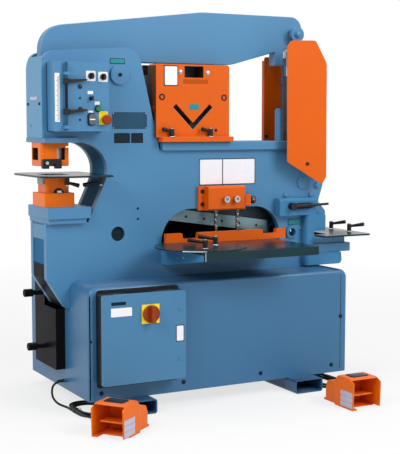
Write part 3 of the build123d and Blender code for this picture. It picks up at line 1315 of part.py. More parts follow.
def shear_table():
    """Flat shear table with apron and gussets, its mitre disc and the lower blade behind it."""
    low = SHEAR_TABLE_LOW
    sill = ARCH_LEFT + SILL_INSET, ARCH_RIGHT - SILL_INSET
    table = box(SHEAR_LEFT, SHEAR_RIGHT, SHEAR_TABLE_FRONT, FRAME_Y, low, SHEAR_TABLE_Z)
    table += box(*sill, FRAME_Y - OVER, FRONT_IN, low, SHEAR_TABLE_Z)
    table += box(SHEAR_LEFT, SHEAR_RIGHT, SHEAR_TABLE_FRONT, SHEAR_TABLE_FRONT + SHEAR_TABLE_T, low - APRON_H,
                 low + OVER)
    tip = SHEAR_TABLE_FRONT + RIB_BACK
    ribs = ((SHEAR_LEFT, RIB_DEEP), ((SHEAR_LEFT + SHEAR_RIGHT) / 2, RIB_INNER),
            (SHEAR_RIGHT - SHEAR_TABLE_T, RIB_INNER))
    for x, down in ribs:
        rib = outline([(FRAME_Y, low + OVER, 0), (FRAME_Y, low - down, 0),
                       (FRAME_Y - RIB_FLAT, low - down, 0), (tip, low - RIB_TIP, 0), (tip, low + OVER, 0)])
        table += slab_x(rib, x, x + SHEAR_TABLE_T)
    left, right, near, deep = GUSSET
    gusset = outline([(SHEAR_LEFT + OVER, low + OVER, 0), (SHEAR_LEFT + OVER, low - RIB_DEEP, 0),
                      (left, low - near, 0), (right, low - deep, 0), (right, low + OVER, 0)])
    table += slab_y(gusset, FRAME_Y - GUSSET_T, FRAME_Y)
    top = SHEAR_TABLE_Z + DISC_T
    disc = bar_z(DISC_R, *DISC, SHEAR_TABLE_Z, top)
    disc -= box(DISC[0] - DISC_R, DISC[0] + DISC_R, FENCE_FRONT - SEAT_GAP, DISC[1] + DISC_R + OVER,
                SHEAR_TABLE_Z - OVER, top + OVER)
    for x, y, turn, side in SHEAR_LEVERS:
        bore = bar_z(SHAFT_R + SLIDE_GAP, x, y, low - OVER, top + OVER)
        table -= bore
        disc -= bore
    blade = box(*sill, FRONT_IN, LOWER_BLADE_REAR, LOWER_BLADE_FOOT, SHEAR_TABLE_Z + LOWER_BLADE_UP)
    return [table, disc, blade]


def shear_lever(x, y, turn):
    """Clamp lever on the mitre disc."""
    return Pos(x, y, SHEAR_TABLE_Z + DISC_T) * Rot(0, 0, turn) * lever(LEVER_LONG, LEVER_RISE, TABLE_T)


def fence():
    """Orange fence bar across the arch with two reliefs in its upper edge."""
    top = SHEAR_TABLE_Z + FENCE_H
    corners = [(FENCE_LEFT, SHEAR_TABLE_Z, 0), (FENCE_LEFT, top, 2)]
    for left, right, up in RELIEFS:
        low = SHEAR_TABLE_Z + up
        corners += [(left, top, 2), (left + RELIEF_SLOPE, low, 3), (right - RELIEF_SLOPE, low, 3),
                    (right, top, 2)]
    corners += [(FENCE_RIGHT, top, 2), (FENCE_RIGHT, SHEAR_TABLE_Z, 0)]
    return slab_y(outline(corners), FENCE_FRONT, FENCE_FRONT + FENCE_T)


# Notcher


def notcher_die():
    """Die shoe on the notcher's jaw with a flange and the notch opening."""
    front = CHEEK_FRONT + SHOE_IN
    rear = REAR_OUT + CHEEK_T - SHOE_IN
    left = NOTCH_X + SEAT_GAP
    top = NOTCH_Z + SHOE_H
    shoe = box(left, SHOE_RIGHT, front, rear, NOTCH_Z, top)
    block = box(left, DIE_BLOCK_RIGHT, front + DIE_BLOCK_IN, rear - DIE_BLOCK_IN, top - OVER, NOTCH_DIE_TOP)
    shoe += chamfer(block.edges().group_by(Axis.Z)[-1], 3)
    x = LINK_FOOT[0]
    gap, wider = DIE_SLOT_GAP
    half = NOTCH_PUNCH_HALF + wider
    return shoe - box(x - RAM_HALF - gap, x + RAM_HALF + wider, MID_Y - half, MID_Y + half, NOTCH_Z - OVER,
                      NOTCH_DIE_TOP + OVER)


def notch_table():
    """Notch table on the die block."""
    left = CHEEK_RIGHT + TABLE_CHEEK_GAP
    front = CHEEK_FRONT - TABLE_CHEEK_GAP
    face = outline([(NOTCH_X, NOTCH_TABLE_FRONT, 12), (NOTCH_TABLE_RIGHT, NOTCH_TABLE_FRONT, 25),
                    (NOTCH_TABLE_RIGHT, NOTCH_TABLE_REAR, 25), (left, NOTCH_TABLE_REAR, 12), (left, front, 4),
                    (NOTCH_X, front, 4)])
    table = slab_z(face, NOTCH_DIE_TOP, NOTCH_DIE_TOP + TABLE_T)
    for x, y, turn, side in NOTCH_LEVERS:
        table -= bar_z(SHAFT_R + SLIDE_GAP, x, y, NOTCH_DIE_TOP - OVER, NOTCH_DIE_TOP + TABLE_T + OVER)
    return table


def notch_lever(x, y, turn):
    """Clamp lever on the notch table."""
    stud = TABLE_T - SLIDE_GAP
    return Pos(x, y, NOTCH_DIE_TOP + TABLE_T) * Rot(0, 0, turn) * lever(LEVER_LONG, LEVER_RISE, stud)


def toggle_lever():
    """Black grip lever on the notcher's cover."""
    x, z = TOGGLE_PIVOT
    face = CHEEK_FRONT - SLIDE_GAP
    y = face - TOGGLE_ARM_OUT
    lean = TOGGLE_GRIP[2]
    start, end, radius, rise = TOGGLE_TAIL
    hub = bar_y(TOGGLE_HUB_R, x, z, face - TOGGLE_HUB_T, face)
    hub += bar_y(SHAFT_R, x, z, face - OVER, FRAME_Y - TOGGLE_SHAFT_END)
    hub += bar((x, y, z), (x + TOGGLE_GRIP[0], y, z + lean), TOGGLE_GRIP[1])
    return hub + bar((x + start, y, z + lean), (x + end, y, z + rise), radius)


# Foot switches and cables


def pedal_place(side):
    """Place of one foot switch on the floor."""
    x, y, turn = PEDALS[side]
    return Pos(x, y, SHOP_FLOOR) * Rot(0, 0, turn)


def pedal_shield():
    """Foot switch casting: hood open at the front, lower rear housing, base plate and cable gland."""
    half = PEDAL_W / 2
    wall = PEDAL_WALL
    front = -(PEDAL_HOOD + PEDAL_REAR) / 2
    step = front + PEDAL_HOOD
    rear = step + PEDAL_REAR
    side = outline([(front + wall, 0, 0), (front, PEDAL_H - 14, 0), (front + 30, PEDAL_H, 20),
                    (step - 20, PEDAL_H, 30), (step, PEDAL_REAR_H, 16), (step, 0, 0)])
    hollow = outline([(front - 2, wall, 0), (front - 2, PEDAL_H - wall, 0), (step - 25, PEDAL_H - wall, 20),
                      (step - wall, PEDAL_REAR_H, 6), (step - wall, wall, 0)])
    body = slab_x(side, -half, half)
    shoulders = []
    for edge in body.edges():
        middle = edge.center()
        if abs(middle.X) > half - RUN_FIT and middle.Y > front + wall and middle.Z > wall:
            shoulders.append(edge)
    body = fillet(shoulders, PEDAL_EDGE) - slab_x(hollow, -half + wall, half - wall)
    inset, deep = PEDAL_NOTCH
    body -= box(inset - half, half + OVER, front - OVER, front + deep, -OVER, wall + RUN_FIT)
    roof = PEDAL_REAR_H - wall
    back = outline([(step - OVER, 0, 0), (step - OVER, roof, 0), (rear - 14, roof, 24),
                    (rear, PEDAL_REAR_H - 40, 10), (rear, 0, 0)])
    body += slab_x(back, PEDAL_BACK_IN - half, half - PEDAL_BACK_IN)
    inset, wide, long, high = PEDAL_LUG
    for x in (inset - half, half - inset):
        body += box(x - wide, x + wide, rear - OVER, rear + long, 0, high)
    body += bar_y(GLAND_R, 0, PEDAL_GLAND_Z, rear - OVER, rear + PEDAL_GLAND_LONG)
    out = half - wall + OVER
    for way in (-1, 1):
        body += bar_x(TREADLE_BOSS_R, *TREADLE_PIN, *sorted((way * (out - TREADLE_BOSS_T), way * out)))
        bore = sorted((way * (out - TREADLE_BOSS_T - OVER), way * (out - TREADLE_IN)))
        body -= bar_x(TREADLE_PIN_R + RUN_FIT, *TREADLE_PIN, *bore)
    return body


def treadle():
    """Treadle on its cross pin inside the hood."""
    half = PEDAL_W / 2 - PEDAL_WALL
    y, z = TREADLE_PIN
    tip, up = TREADLE_NOSE
    pin = bar_x(TREADLE_PIN_R, y, z, TREADLE_IN - half, half - TREADLE_IN)
    plate = outline([(y + 12, z - 8, 3), (y + 12, z + 8, 3), (tip + 4, z + up, 3), (tip, z + up - 6, 3),
                     (y - 14, z - 8, 5)])
    return pin + slab_x(plate, TREADLE_SIDE - half, half - TREADLE_SIDE)


def cable_radii(points):
    """The largest bend that the two runs at each point allow."""
    radii = []
    for before, here, after in zip(points, points[1:], points[2:]):
        arriving = Vector(here) - Vector(before)
        leaving = Vector(after) - Vector(here)
        half_turn = radians(arriving.get_angle(leaving)) / 2
        radii.append(ARC_SHARE * min(arriving.length, leaving.length) / tan(half_turn))
    return radii


def cable(points):
    """A cable along straight runs joined by tangent arcs."""
    radii = cable_radii(points)
    path = FilletPolyline(*points, radius=radii)
    tube = sweep(Plane(origin=path @ 0, z_dir=path % 0) * Circle(CABLE_R), path=path)
    share = tube.volume / (pi * CABLE_R ** 2 * path.length)
    bends = [round(radius) for radius in radii]
    print("cable", round(path.length), "mm, radii", bends, "volume", round(share, 3))
    return tube


def coil_runs(side):
    """The coil's straight runs, as X and height, from the outer lower one in, up and out again."""
    x, y, way = COILS[side]
    runs = []
    for k in range(COIL_RUNS):
        reach = COIL_HALF - COIL_PITCH * (k // 2)
        runs.append((x + way * (-reach if k % 2 == 0 else reach), CABLE_FLOOR))
    for k in reversed(range(1, COIL_RUNS)):
        reach = COIL_HALF - COIL_PITCH * (k // 2)
        runs.append((x + way * (reach if k % 2 == 0 else -reach), CABLE_FLOOR + COIL_RISE))
    return runs


def coil_path(side):
    """Centre line of a coil: straight runs joined by half turns, with one half turn that climbs."""
    y = COILS[side][1]
    runs = coil_runs(side)
    near = y - COIL_RUN / 2
    far = y + COIL_RUN / 2
    edges = []
    for k, (x, z) in enumerate(runs):
        start, end = (far, near) if k % 2 == 0 else (near, far)
        edges.append(Line((x, start, z), (x, end, z)))
        if k + 1 < len(runs):
            next_x, next_z = runs[k + 1]
            radius = dist((x, z), (next_x, next_z)) / 2
            bulge = end - radius if k % 2 == 0 else end + radius
            middle = ((x + next_x) / 2, bulge, (z + next_z) / 2)
            edges.append(ThreePointArc((x, end, z), middle, (next_x, end, next_z)))
    return edges


def coil(side):
    """One unbroken tube with the coil's loops."""
    edges = coil_path(side)
    start = edges[0]
    tube = sweep(Plane(origin=start @ 0, z_dir=start % 0) * Circle(CABLE_R), path=Wire(edges))
    report_gap(side, edges)
    return tube


def report_gap(side, edges):
    """Prints the coil's least gap to itself, measured on points along its centre line."""
    steps = 12
    apart = 8 * CABLE_R
    points = []
    travelled = 0
    for edge in edges:
        points += [(travelled + edge.length * k / steps, edge @ (k / steps)) for k in range(steps)]
        travelled += edge.length
    least = min((a - b).length for i, (s, a) in enumerate(points) for t, b in points[:i] if s - t > apart)
    print("coil", side, round(travelled), "mm, least gap", round(least - 2 * CABLE_R, 2), "mm")


def cord_routes():
    """The four free stretches: from each gland to its coil and from each coil to its foot switch."""
    low = CABLE_FLOOR
    routes = {}
    for side, (x, y, way) in COILS.items():
        gland_x = -GLAND_LONG if way > 0 else CAB_W + GLAND_LONG
        start_x = coil_runs(side)[0][0]
        far = y + COIL_RUN / 2
        drop = (far + 42 + GLAND_Y) / 2
        routes[side] = [[(gland_x, GLAND_Y, GLAND_Z), (gland_x - way * 50, GLAND_Y, GLAND_Z),
                         (gland_x - way * 66, GLAND_Y - 12, GLAND_Z - 54),
                         (start_x - way * 34, drop, low + 12), (start_x, far + 40, low), (start_x, far, low)]]
    high = low + COIL_RISE
    gland = SHOP_FLOOR + PEDAL_GLAND_Z
    routes["left"].append([(-30, 50, high), (-30, 4, high), (-12, -40, low + 5), (30, -74, low),
                           (92.5, -88.6, low), (142.3, -93, low), (167.5, -124.1, gland - 18),
                           (162.6, -163.8, gland), (130.6, -187.8, gland)])
    routes["right"].append([(1313, 20, high), (1313, -26, high), (1297, -70, low + 5), (1256, -100, low),
                            (1196, -116, low), (1150, -132, gland - 18), (1128, -166, gland),
                            (1128, -206, gland)])
    return routes


def main():
    save("skid_tubes", *skid_tubes())
    save("cabinet_shell", cabinet_shell())
    save("electrical_enclosure", electrical_enclosure())
    save("enclosure_door", enclosure_door())
    save("disconnect_knob", disconnect_knob())
    save("power_unit", *power_unit())
    save("slug_bin", slug_bin())
    for node, plate in zip(("front_plate", "rear_plate"), frame_plates()):
        save(node, plate)
    save("frame_spacers", *frame_spacers())
    save("bolsters", *bolsters())
    save("pivot_pins", *pivot_pins())
    save("guard_sheets", *guard_sheets())
    save("beam", beam())
    save("beam_links", beam_links())
    save("notch_ram", notch_ram())
    save("shear_arm", shear_arm())
    save("upper_blade", upper_blade())
    save("beam_cylinder_barrel", beam_cylinder_barrel())
    save("beam_cylinder_rod", beam_cylinder_rod())
    save("fixed_cylinders", *fixed_cylinders())
    save("shear_cylinder_rod", shear_cylinder_rod())
    save("punch_ram", *punch_ram())
    save("stripper", stripper())
    save("die_tooling", *die_tooling())
    save("die_holder", die_holder())
    save("punch_table", punch_table())
    for x, y, turn, length, side in PUNCH_LEVERS:
        save(f"punch_lever_{side}", punch_lever(x, y, turn, length))
    save("control_box", control_box())
    for side, z in COLLARS.items():
        save(f"stroke_collar_{side}", stroke_collar(z))
    for x, z, size, side in SELECTORS:
        save(f"selector_{side}", selector(x, z, size))
    save("start_button", start_button())
    save("twin_button", twin_button())
    save("emergency_stop", emergency_stop())
    save("angle_shear_box", angle_shear_box())
    save("angle_blade", angle_blade())
    for x, side in ANGLE_CLAMPS:
        save(f"angle_clamp_{side}", angle_clamp(x))
    save("hold_down_bracket", hold_down_bracket())
    save("hold_down_screws", *hold_down_screws())
    save("shear_table", *shear_table())
    save("fence", fence())
    for x, y, turn, side in SHEAR_LEVERS:
        save(f"shear_lever_{side}", shear_lever(x, y, turn))
    save("notcher_die", notcher_die())
    save("notch_table", notch_table())
    for x, y, turn, side in NOTCH_LEVERS:
        save(f"notch_lever_{side}", notch_lever(x, y, turn))
    save("toggle_lever", toggle_lever())
    save("pedal_shields", *[pedal_place(side) * pedal_shield() for side in PEDALS])
    for side in PEDALS:
        save(f"treadle_{side}", pedal_place(side) * treadle())
    for side, routes in cord_routes().items():
        save(f"{side}_cord", *[cable(points) for points in routes])
        save(f"{side}_coil", coil(side))


main()
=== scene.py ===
# %% [markdown]
# A hydraulic ironworker: two thick frame plates stand in a sheet metal cabinet, with a punch in the throat,
# an angle shear on the ledge, a flat shear in the arch and a notcher at the right end. The solids come from
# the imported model. This lesson gives them their finishes and adds the small things that a solid modeller
# leaves out: cables, legends, screws, threads, scales, louvres and plates.
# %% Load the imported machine
from math import cos, pi, radians, sin

import bmesh
import bpy
from mathutils import Matrix, Vector


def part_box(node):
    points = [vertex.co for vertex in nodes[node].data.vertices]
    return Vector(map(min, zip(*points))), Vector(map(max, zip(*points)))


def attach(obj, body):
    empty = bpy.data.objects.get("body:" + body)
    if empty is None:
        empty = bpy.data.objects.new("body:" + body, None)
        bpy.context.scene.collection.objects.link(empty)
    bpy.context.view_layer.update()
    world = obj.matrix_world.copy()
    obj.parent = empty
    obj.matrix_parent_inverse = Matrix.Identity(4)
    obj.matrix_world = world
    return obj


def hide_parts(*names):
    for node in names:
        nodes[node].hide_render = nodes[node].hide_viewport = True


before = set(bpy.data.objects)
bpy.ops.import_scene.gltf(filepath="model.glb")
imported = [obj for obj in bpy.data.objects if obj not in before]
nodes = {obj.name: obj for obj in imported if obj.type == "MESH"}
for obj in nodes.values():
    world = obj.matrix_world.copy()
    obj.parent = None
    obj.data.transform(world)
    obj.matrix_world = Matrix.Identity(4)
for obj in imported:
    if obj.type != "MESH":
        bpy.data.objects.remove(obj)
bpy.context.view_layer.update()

# %% [markdown]
# The machine was measured in millimetres from the cabinet's lower left front corner: X to the right, Y to
# the back, Z up. Blender works in metres from the middle of the floor. One small function takes every place
# in this file from the first to the second, so that the numbers below can be read with a ruler in mind.
# %% From the cabinet's corner to Blender's metres
MM = 0.001
CORNER = Vector((-643.5, -371.0, 64.0))


def at(x, y, z):
    """A place given in millimetres from the cabinet's corner, in metres."""
    return (Vector((x, y, z)) + CORNER) * MM


print("the cabinet's corner lies at", [round(v, 3) for v in at(0, 0, 0)])

# %% [markdown]
# The camera stands to the left of the machine's front at chest height, some five metres away, with a long
# lens. Its place was solved from the cabinet's edges in the picture, so it is written as plain numbers.
# %% Camera
LOOK_DOWN, LOOK_RIGHT = 5.35, 28
eye = bpy.data.cameras.new("eye")
eye.lens = 87.2
eye.sensor_width = 36
eye.clip_end = 200
camera = bpy.data.objects.new("camera", eye)
camera.location = (-2.3915, -4.662, 1.251)
camera.rotation_euler = (radians(90 - LOOK_DOWN), 0, radians(-LOOK_RIGHT))
bpy.context.collection.objects.link(camera)
bpy.context.scene.camera = camera
print("camera", [round(v, 2) for v in camera.location])

# %% [markdown]
# Materials are small networks of nodes. Writing them out link by link is long, so one helper puts a node in
# a tree: its inputs are given by name, and an input that is a socket of another node becomes a link.
# Another puts named sockets on the outside of a tree.
# %% Helpers for every node tree
FLOAT, COLOUR, VECTOR = "NodeSocketFloat", "NodeSocketColor", "NodeSocketVector"


def feed(tree, node, inputs):
    """Sets a node's inputs, and links those that are sockets of other nodes."""
    for key, value in inputs.items():
        if isinstance(value, bpy.types.NodeSocket):
            tree.links.new(value, node.inputs[key])
        else:
            node.inputs[key].default_value = value


def tuned(thing, **settings):
    """Sets several attributes of one thing."""
    for name, value in settings.items():
        setattr(thing, name, value)
    return thing


def put(tree, kind, inputs=None, **attributes):
    """Adds a node, sets its attributes, then feeds its inputs."""
    node = tuned(tree.nodes.new(kind), **attributes)
    feed(tree, node, inputs or {})
    return node


def first(tree, kind, inputs=None, **attributes):
    """The first output of a new node."""
    return put(tree, kind, inputs, **attributes).outputs[0]


def sockets(tree, way, **kinds):
    """Named sockets on the outside of a tree, each with its kind and, for some, a first value."""
    for label, (kind, *value) in kinds.items():
        socket = tree.interface.new_socket(label, in_out=way, socket_type=kind)
        if value:
            socket.default_value = value[0]


print("node helpers ready")

# %% [markdown]
# Sums, mixes, ranges and noise come up in every finish. Each gets a short name, so that the networks below
# read almost like formulas. Colours are written as they look on a screen, because that is how they were
# compared with the picture, and turned into the linear values that a shader takes.
# %% Short names for shader nodes
WHITE, GREY, SHADE = (1, 1, 1, 1), (0.5, 0.5, 0.5, 1), (0.55, 0.55, 0.55, 1)


def maths(tree, operation, one, other=0.0, clamp=False):
    """One sum on two values."""
    return first(tree, "ShaderNodeMath", {0: one, 1: other}, operation=operation, use_clamp=clamp)


def times(tree, one, other, clamp=False):
    return maths(tree, "MULTIPLY", one, other, clamp)


def plus(tree, one, other, clamp=False):
    return maths(tree, "ADD", one, other, clamp)


def mixed(tree, share, one, other, way="MIX"):
    """Two colours mixed by a share."""
    colours = {0: share, 6: one, 7: other}
    return put(tree, "ShaderNodeMix", colours, data_type="RGBA", blend_type=way).outputs[2]


def spread(tree, value, low, high, to_low=0.0, to_high=1.0):
    """A value stretched from one range to another, and held inside it."""
    ranges = {"Value": value, "From Min": low, "From Max": high, "To Min": to_low, "To Max": to_high}
    return first(tree, "ShaderNodeMapRange", ranges)


def own_place(tree):
    """Object coordinates, which for every piece here are the part's own metres."""
    return put(tree, "ShaderNodeTexCoord").outputs["Object"]


def noise(tree, where, scale, detail=3.0):
    """A cloudy pattern."""
    return put(tree, "ShaderNodeTexNoise", {"Vector": where, "Scale": scale, "Detail": detail}).outputs["Fac"]


def screen(red, green, blue):
    """A colour as it looks on a screen, 0 to 255, in the linear values that a shader takes."""
    parts = [v / 255 for v in (red, green, blue)]
    return (*[v / 12.92 if v < 0.04 else ((v + 0.055) / 1.055) ** 2.4 for v in parts], 1)


def group(name, **inputs):
    """A shader group with named inputs, for a colour, a roughness and a height."""
    tree = bpy.data.node_groups.new(name, "ShaderNodeTree")
    sockets(tree, "INPUT", **inputs)
    sockets(tree, "OUTPUT", Color=(COLOUR,), Roughness=(FLOAT,), Height=(FLOAT,))
    return tree, tree.nodes.new("NodeGroupInput").outputs


print("shader helpers ready")

# %% [markdown]
# Machine enamel is sprayed on in a workshop. Close up it has an orange peel skin, from further away the tone
# drifts a little, sheet edges are lighter, partly as rubbed paint and partly as a painted highlight, and dust
# settles on what faces up. These edges could be painted by hand, but the Bevel node finds them by itself: it
# gives the normal of a rounded edge, and where that differs from the true normal there is an edge. All of it
# sits in one group for every paint.
# %% Enamel film
film, given = group("enamel_film", Paint=(COLOUR, GREY), Rubbed=(COLOUR, WHITE), Wear=(FLOAT, 0.35),
                    Gloss=(FLOAT, 0.35))
place = own_place(film)
drift = noise(film, place, 2.4, 4)
tone = mixed(film, spread(film, drift, 0.35, 0.7, 0, 0.22), given["Paint"], (0.62, 0.66, 0.72, 1), "MULTIPLY")
rounded = first(film, "ShaderNodeBevel", {"Radius": 2.2 * MM}, samples=4)
flat = put(film, "ShaderNodeNewGeometry").outputs["Normal"]
same = put(film, "ShaderNodeVectorMath", {0: rounded, 1: flat}, operation="DOT_PRODUCT").outputs["Value"]
ragged = spread(film, noise(film, place, 55, 5), 0.35, 0.6)
# Painted highlight and wear: rounded edges are lightened towards the edge colour, in ragged patches.
rubbed_and_glinting = times(film, times(film, spread(film, same, 0.97, 0.8), ragged), given["Wear"], True)
worn = mixed(film, rubbed_and_glinting, tone, given["Rubbed"])
up = put(film, "ShaderNodeSeparateXYZ", {0: flat}).outputs["Z"]
dust = spread(film, noise(film, place, 9, 5), 0.4, 0.75, 0, 0.16)
lying = times(film, spread(film, up, 0.6, 0.95), dust)
gloss = plus(film, given["Gloss"], times(film, maths(film, "SUBTRACT", drift, 0.5), 0.25))
peel = times(film, noise(film, place, 420, 2), 0.5)
put(film, "NodeGroupOutput", {"Color": mixed(film, lying, worn, screen(196, 196, 190)),
                              "Roughness": plus(film, gloss, times(film, lying, 1.6), True),
                              "Height": maths(film, "SUBTRACT", peel, times(film, rubbed_and_glinting, 0.4))})
print("enamel film", len(film.nodes), "nodes")

# %% [markdown]
# Ground and rolled steel shows fine lines along the way the wheel ran, with stains of oil between them.
# Noise that is stretched hard along one axis gives the lines. The stretch is an input, because a table is
# ground along its length and a rod round its girth.
# %% Machined steel
mill, given = group("machined_steel", Metal=(COLOUR, (0.6, 0.6, 0.6, 1)), Stain=(COLOUR, (0.2, 0.2, 0.2, 1)),
                    Lines=(VECTOR, (4, 900, 900)), Gloss=(FLOAT, 0.3))
place = own_place(mill)
along = first(mill, "ShaderNodeVectorMath", {0: place, 1: given["Lines"]}, operation="MULTIPLY")
lines = noise(mill, along, 1.0, 3)
oil = spread(mill, noise(mill, place, 7, 5), 0.42, 0.72)
stained = mixed(mill, times(mill, oil, 0.55), given["Metal"], given["Stain"])
streaked = mixed(mill, spread(mill, lines, 0.3, 0.7, 0, 0.35), stained, SHADE, "MULTIPLY")
sheen = plus(mill, given["Gloss"], spread(mill, lines, 0.3, 0.7, -0.08, 0.1))
put(mill, "NodeGroupOutput", {"Color": streaked, "Height": lines,
                              "Roughness": plus(mill, sheen, times(mill, oil, 0.08), True)})
print("machined steel", len(mill.nodes), "nodes")

# %% [markdown]
# Moulded plastic and rubber have a fine spark eroded grain from the tool, and handling polishes them in
# patches. Printed plates use the same group with almost no grain.
# %% Moulded grain
grain, given = group("moulded_grain", Tint=(COLOUR, GREY), Grain=(FLOAT, 1.0), Gloss=(FLOAT, 0.4),
                     Handling=(FLOAT, 0.25))
place = own_place(grain)
patch = noise(grain, place, 14, 4)
speck = noise(grain, place, 1300, 2)
patches = times(grain, spread(grain, patch, 0.4, 0.75), given["Handling"])
handled = mixed(grain, patches, given["Tint"], (0.55, 0.55, 0.56, 1), "MULTIPLY")
specks = times(grain, spread(grain, speck, 0.55, 0.8, 0, 0.03), given["Grain"])
rough = plus(grain, given["Gloss"], spread(grain, patch, 0.35, 0.7, -0.08, 0.1), True)
put(grain, "NodeGroupOutput", {"Color": mixed(grain, specks, handled, WHITE), "Roughness": rough,
                               "Height": times(grain, speck, given["Grain"])})
print("moulded grain", len(grain.nodes), "nodes")

# %% [markdown]
# Each finish is one material: a group for what changes over the surface, a Bump node for the relief, and the
# Principled shader with the plain values set on its own sockets. The Bevel node under the bump rounds the
# sharp edges of the solids for the light, without touching their meshes. Some nodes of the model hold two
# colours, so a finish can have more tones: each is a colour and the region, in millimetres, that has it. A
# finish is put straight on the nodes that wear it.
# %% From a group to a finish
FINISH = {}
dressed = set()


def within(tree, **ranges):
    """A mask that is one inside the ranges given along the axes X, Y and Z."""
    value = put(tree, "ShaderNodeSeparateXYZ", {0: own_place(tree)}).outputs
    mask = 1.0
    for axis, (low, high) in ranges.items():
        start = CORNER["XYZ".index(axis)]
        over = maths(tree, "GREATER_THAN", value[axis], (low + start) * MM)
        under = maths(tree, "LESS_THAN", value[axis], (high + start) * MM)
        mask = times(tree, mask, times(tree, over, under))
    return mask


def finish(name, wearers, group_tree, values, relief, metal=0.0, shine=0.4, soft_edge=1.2, tones=()):
    """A material from one of the groups, kept under its name and put on the nodes that wear it."""
    material = bpy.data.materials.new(name)
    material.use_nodes = True
    tree = material.node_tree
    skin = put(tree, "ShaderNodeGroup", values, node_tree=group_tree)
    colour = skin.outputs["Color"]
    for tint, region in tones:
        colour = mixed(tree, within(tree, **region), colour, screen(*tint))
    soft = first(tree, "ShaderNodeBevel", {"Radius": soft_edge * MM}, samples=4)
    bump = first(tree, "ShaderNodeBump", {"Height": skin.outputs["Height"], "Normal": soft,
                                          "Strength": relief, "Distance": 0.4 * MM})
    feed(tree, tree.nodes["Principled BSDF"], {
        "Base Color": colour, "Roughness": skin.outputs["Roughness"], "Normal": bump,
        "Metallic": metal, "Specular IOR Level": shine})
    FINISH[name] = material
    for wearer in wearers.split():
        nodes[wearer].data.materials.clear()
        nodes[wearer].data.materials.append(material)
        dressed.add(wearer)


def enamel(name, wearers, paint, worn_and_lit_edge, gloss=0.36, wear_and_highlight=0.35, shine=0.4, tones=()):
    """A sprayed paint."""
    values = {"Paint": screen(*paint), "Rubbed": screen(*worn_and_lit_edge), "Gloss": gloss, "Wear": wear_and_highlight}
    finish(name, wearers, film, values, 0.12, shine=shine, tones=tones)


def steel(name, wearers, metal, stain, lines, gloss, metallic=1.0, shine=0.5, tones=()):
    """A bare or oiled steel."""
    values = {"Metal": screen(*metal), "Stain": screen(*stain), "Lines": lines, "Gloss": gloss}
    finish(name, wearers, mill, values, 0.08, metallic, shine, 0.8, tones)


def moulding(name, wearers, tint, grain_size=1.0, gloss=0.42, handling=0.25, shine=0.3):
    """A plastic, rubber or printed plate."""
    values = {"Tint": screen(*tint), "Grain": grain_size, "Gloss": gloss, "Handling": handling}
    finish(name, wearers, grain, values, 0.15, shine=shine, soft_edge=0.8)


print("finish helpers ready")

# %% [markdown]
# The finishes of one colour stand in three tables. Each row starts with the nodes that wear the finish; one
# without any is for the small parts below. Then a paint has its colour, the colour of its rubbed and
# highlighted edges, gloss, the share of those edges and shine; a steel its colour, its stain, the stretch of
# its lines, gloss, metal and shine; a moulding its tint, grain, gloss, handling and shine. Some rows paint
# light or shade, as their notes say. What is left out takes the usual value.
# %% Finishes of one colour
BLUE, LIGHT_BLUE = (70, 129, 171), (140, 182, 212)
ORANGE, PALE_ORANGE, LIT_ORANGE = (220, 93, 0), (250, 160, 92), (246, 114, 0)
SATIN = (0.3, 0.35, 0.25)
BRIGHT = ((206, 208, 208), (128, 130, 130), (500, 500, 4))
TABLE = ((17, 50, 58), (10, 32, 38), (3, 700, 700), 0.2, 0.0, 0.2)
PAIRED_LEVERS = [f"{kind}_{side}" for kind in ("punch_lever", "angle_clamp", "shear_lever", "notch_lever")
                 for side in ("left", "right")]
HANDLES = " ".join(["stroke_collar_upper stroke_collar_lower selector_left selector_right selector_small",
                    "toggle_lever", *PAIRED_LEVERS])
ENAMELS = {
    "blue_enamel": ("front_plate rear_plate bolsters beam notcher_die control_box pivot_pins beam_links",
                    BLUE, LIGHT_BLUE),
    "cabinet_enamel": ("cabinet_shell", (57, 110, 151), LIGHT_BLUE),
    # Painted shade: the skids wear a darker blue for the shade under the cabinet.
    "shaded_blue_enamel": ("skid_tubes", (38, 84, 122), (96, 146, 184)),
    "orange_enamel": ("hold_down_bracket fence", ORANGE, PALE_ORANGE, *SATIN),
    # Painted light: the die holder and the stripper wear a lighter orange, against the shade they stand in.
    "lit_orange_enamel": ("die_holder", LIT_ORANGE, PALE_ORANGE, *SATIN),
    # Painted shade: a darker orange for the recess under the angle shear's window.
    "shaded_orange_enamel": ("", (178, 78, 2), PALE_ORANGE, 0.4, 0.1, 0.15),
    "pedal_enamel": ("pedal_shields treadle_left treadle_right", (234, 106, 0), PALE_ORANGE, 0.42, 0.5, 0.25),
    "black_enamel": ("slug_bin", (22, 21, 24), (60, 60, 66), 0.42, 0.35, 0.03),
    "grey_enamel": ("power_unit", (128, 134, 138), (178, 182, 184), 0.4),
}
STEELS = {
    "table_steel": ("notch_table", *TABLE),
    "arm_steel": ("shear_arm fixed_cylinders beam_cylinder_barrel angle_blade",
                  (52, 66, 76), (28, 36, 42), (5, 300, 300), 0.42, 0.4),
    "blade_steel": ("upper_blade notch_ram", (124, 150, 158), (70, 92, 98), (3, 800, 800), 0.32, 0.85),
    "bright_steel": ("beam_cylinder_rod shear_cylinder_rod", *BRIGHT, 0.2),
    "rod_steel": ("hold_down_screws", (96, 102, 104), (44, 48, 50), (500, 500, 4), 0.18),
    "screw_steel": ("", (206, 210, 212), (112, 116, 118), (300, 300, 300), 0.2),
    "blackened_steel": ("die_tooling", (36, 38, 42), (16, 17, 19), (300, 300, 300), 0.4, 0.5, 0.3),
}
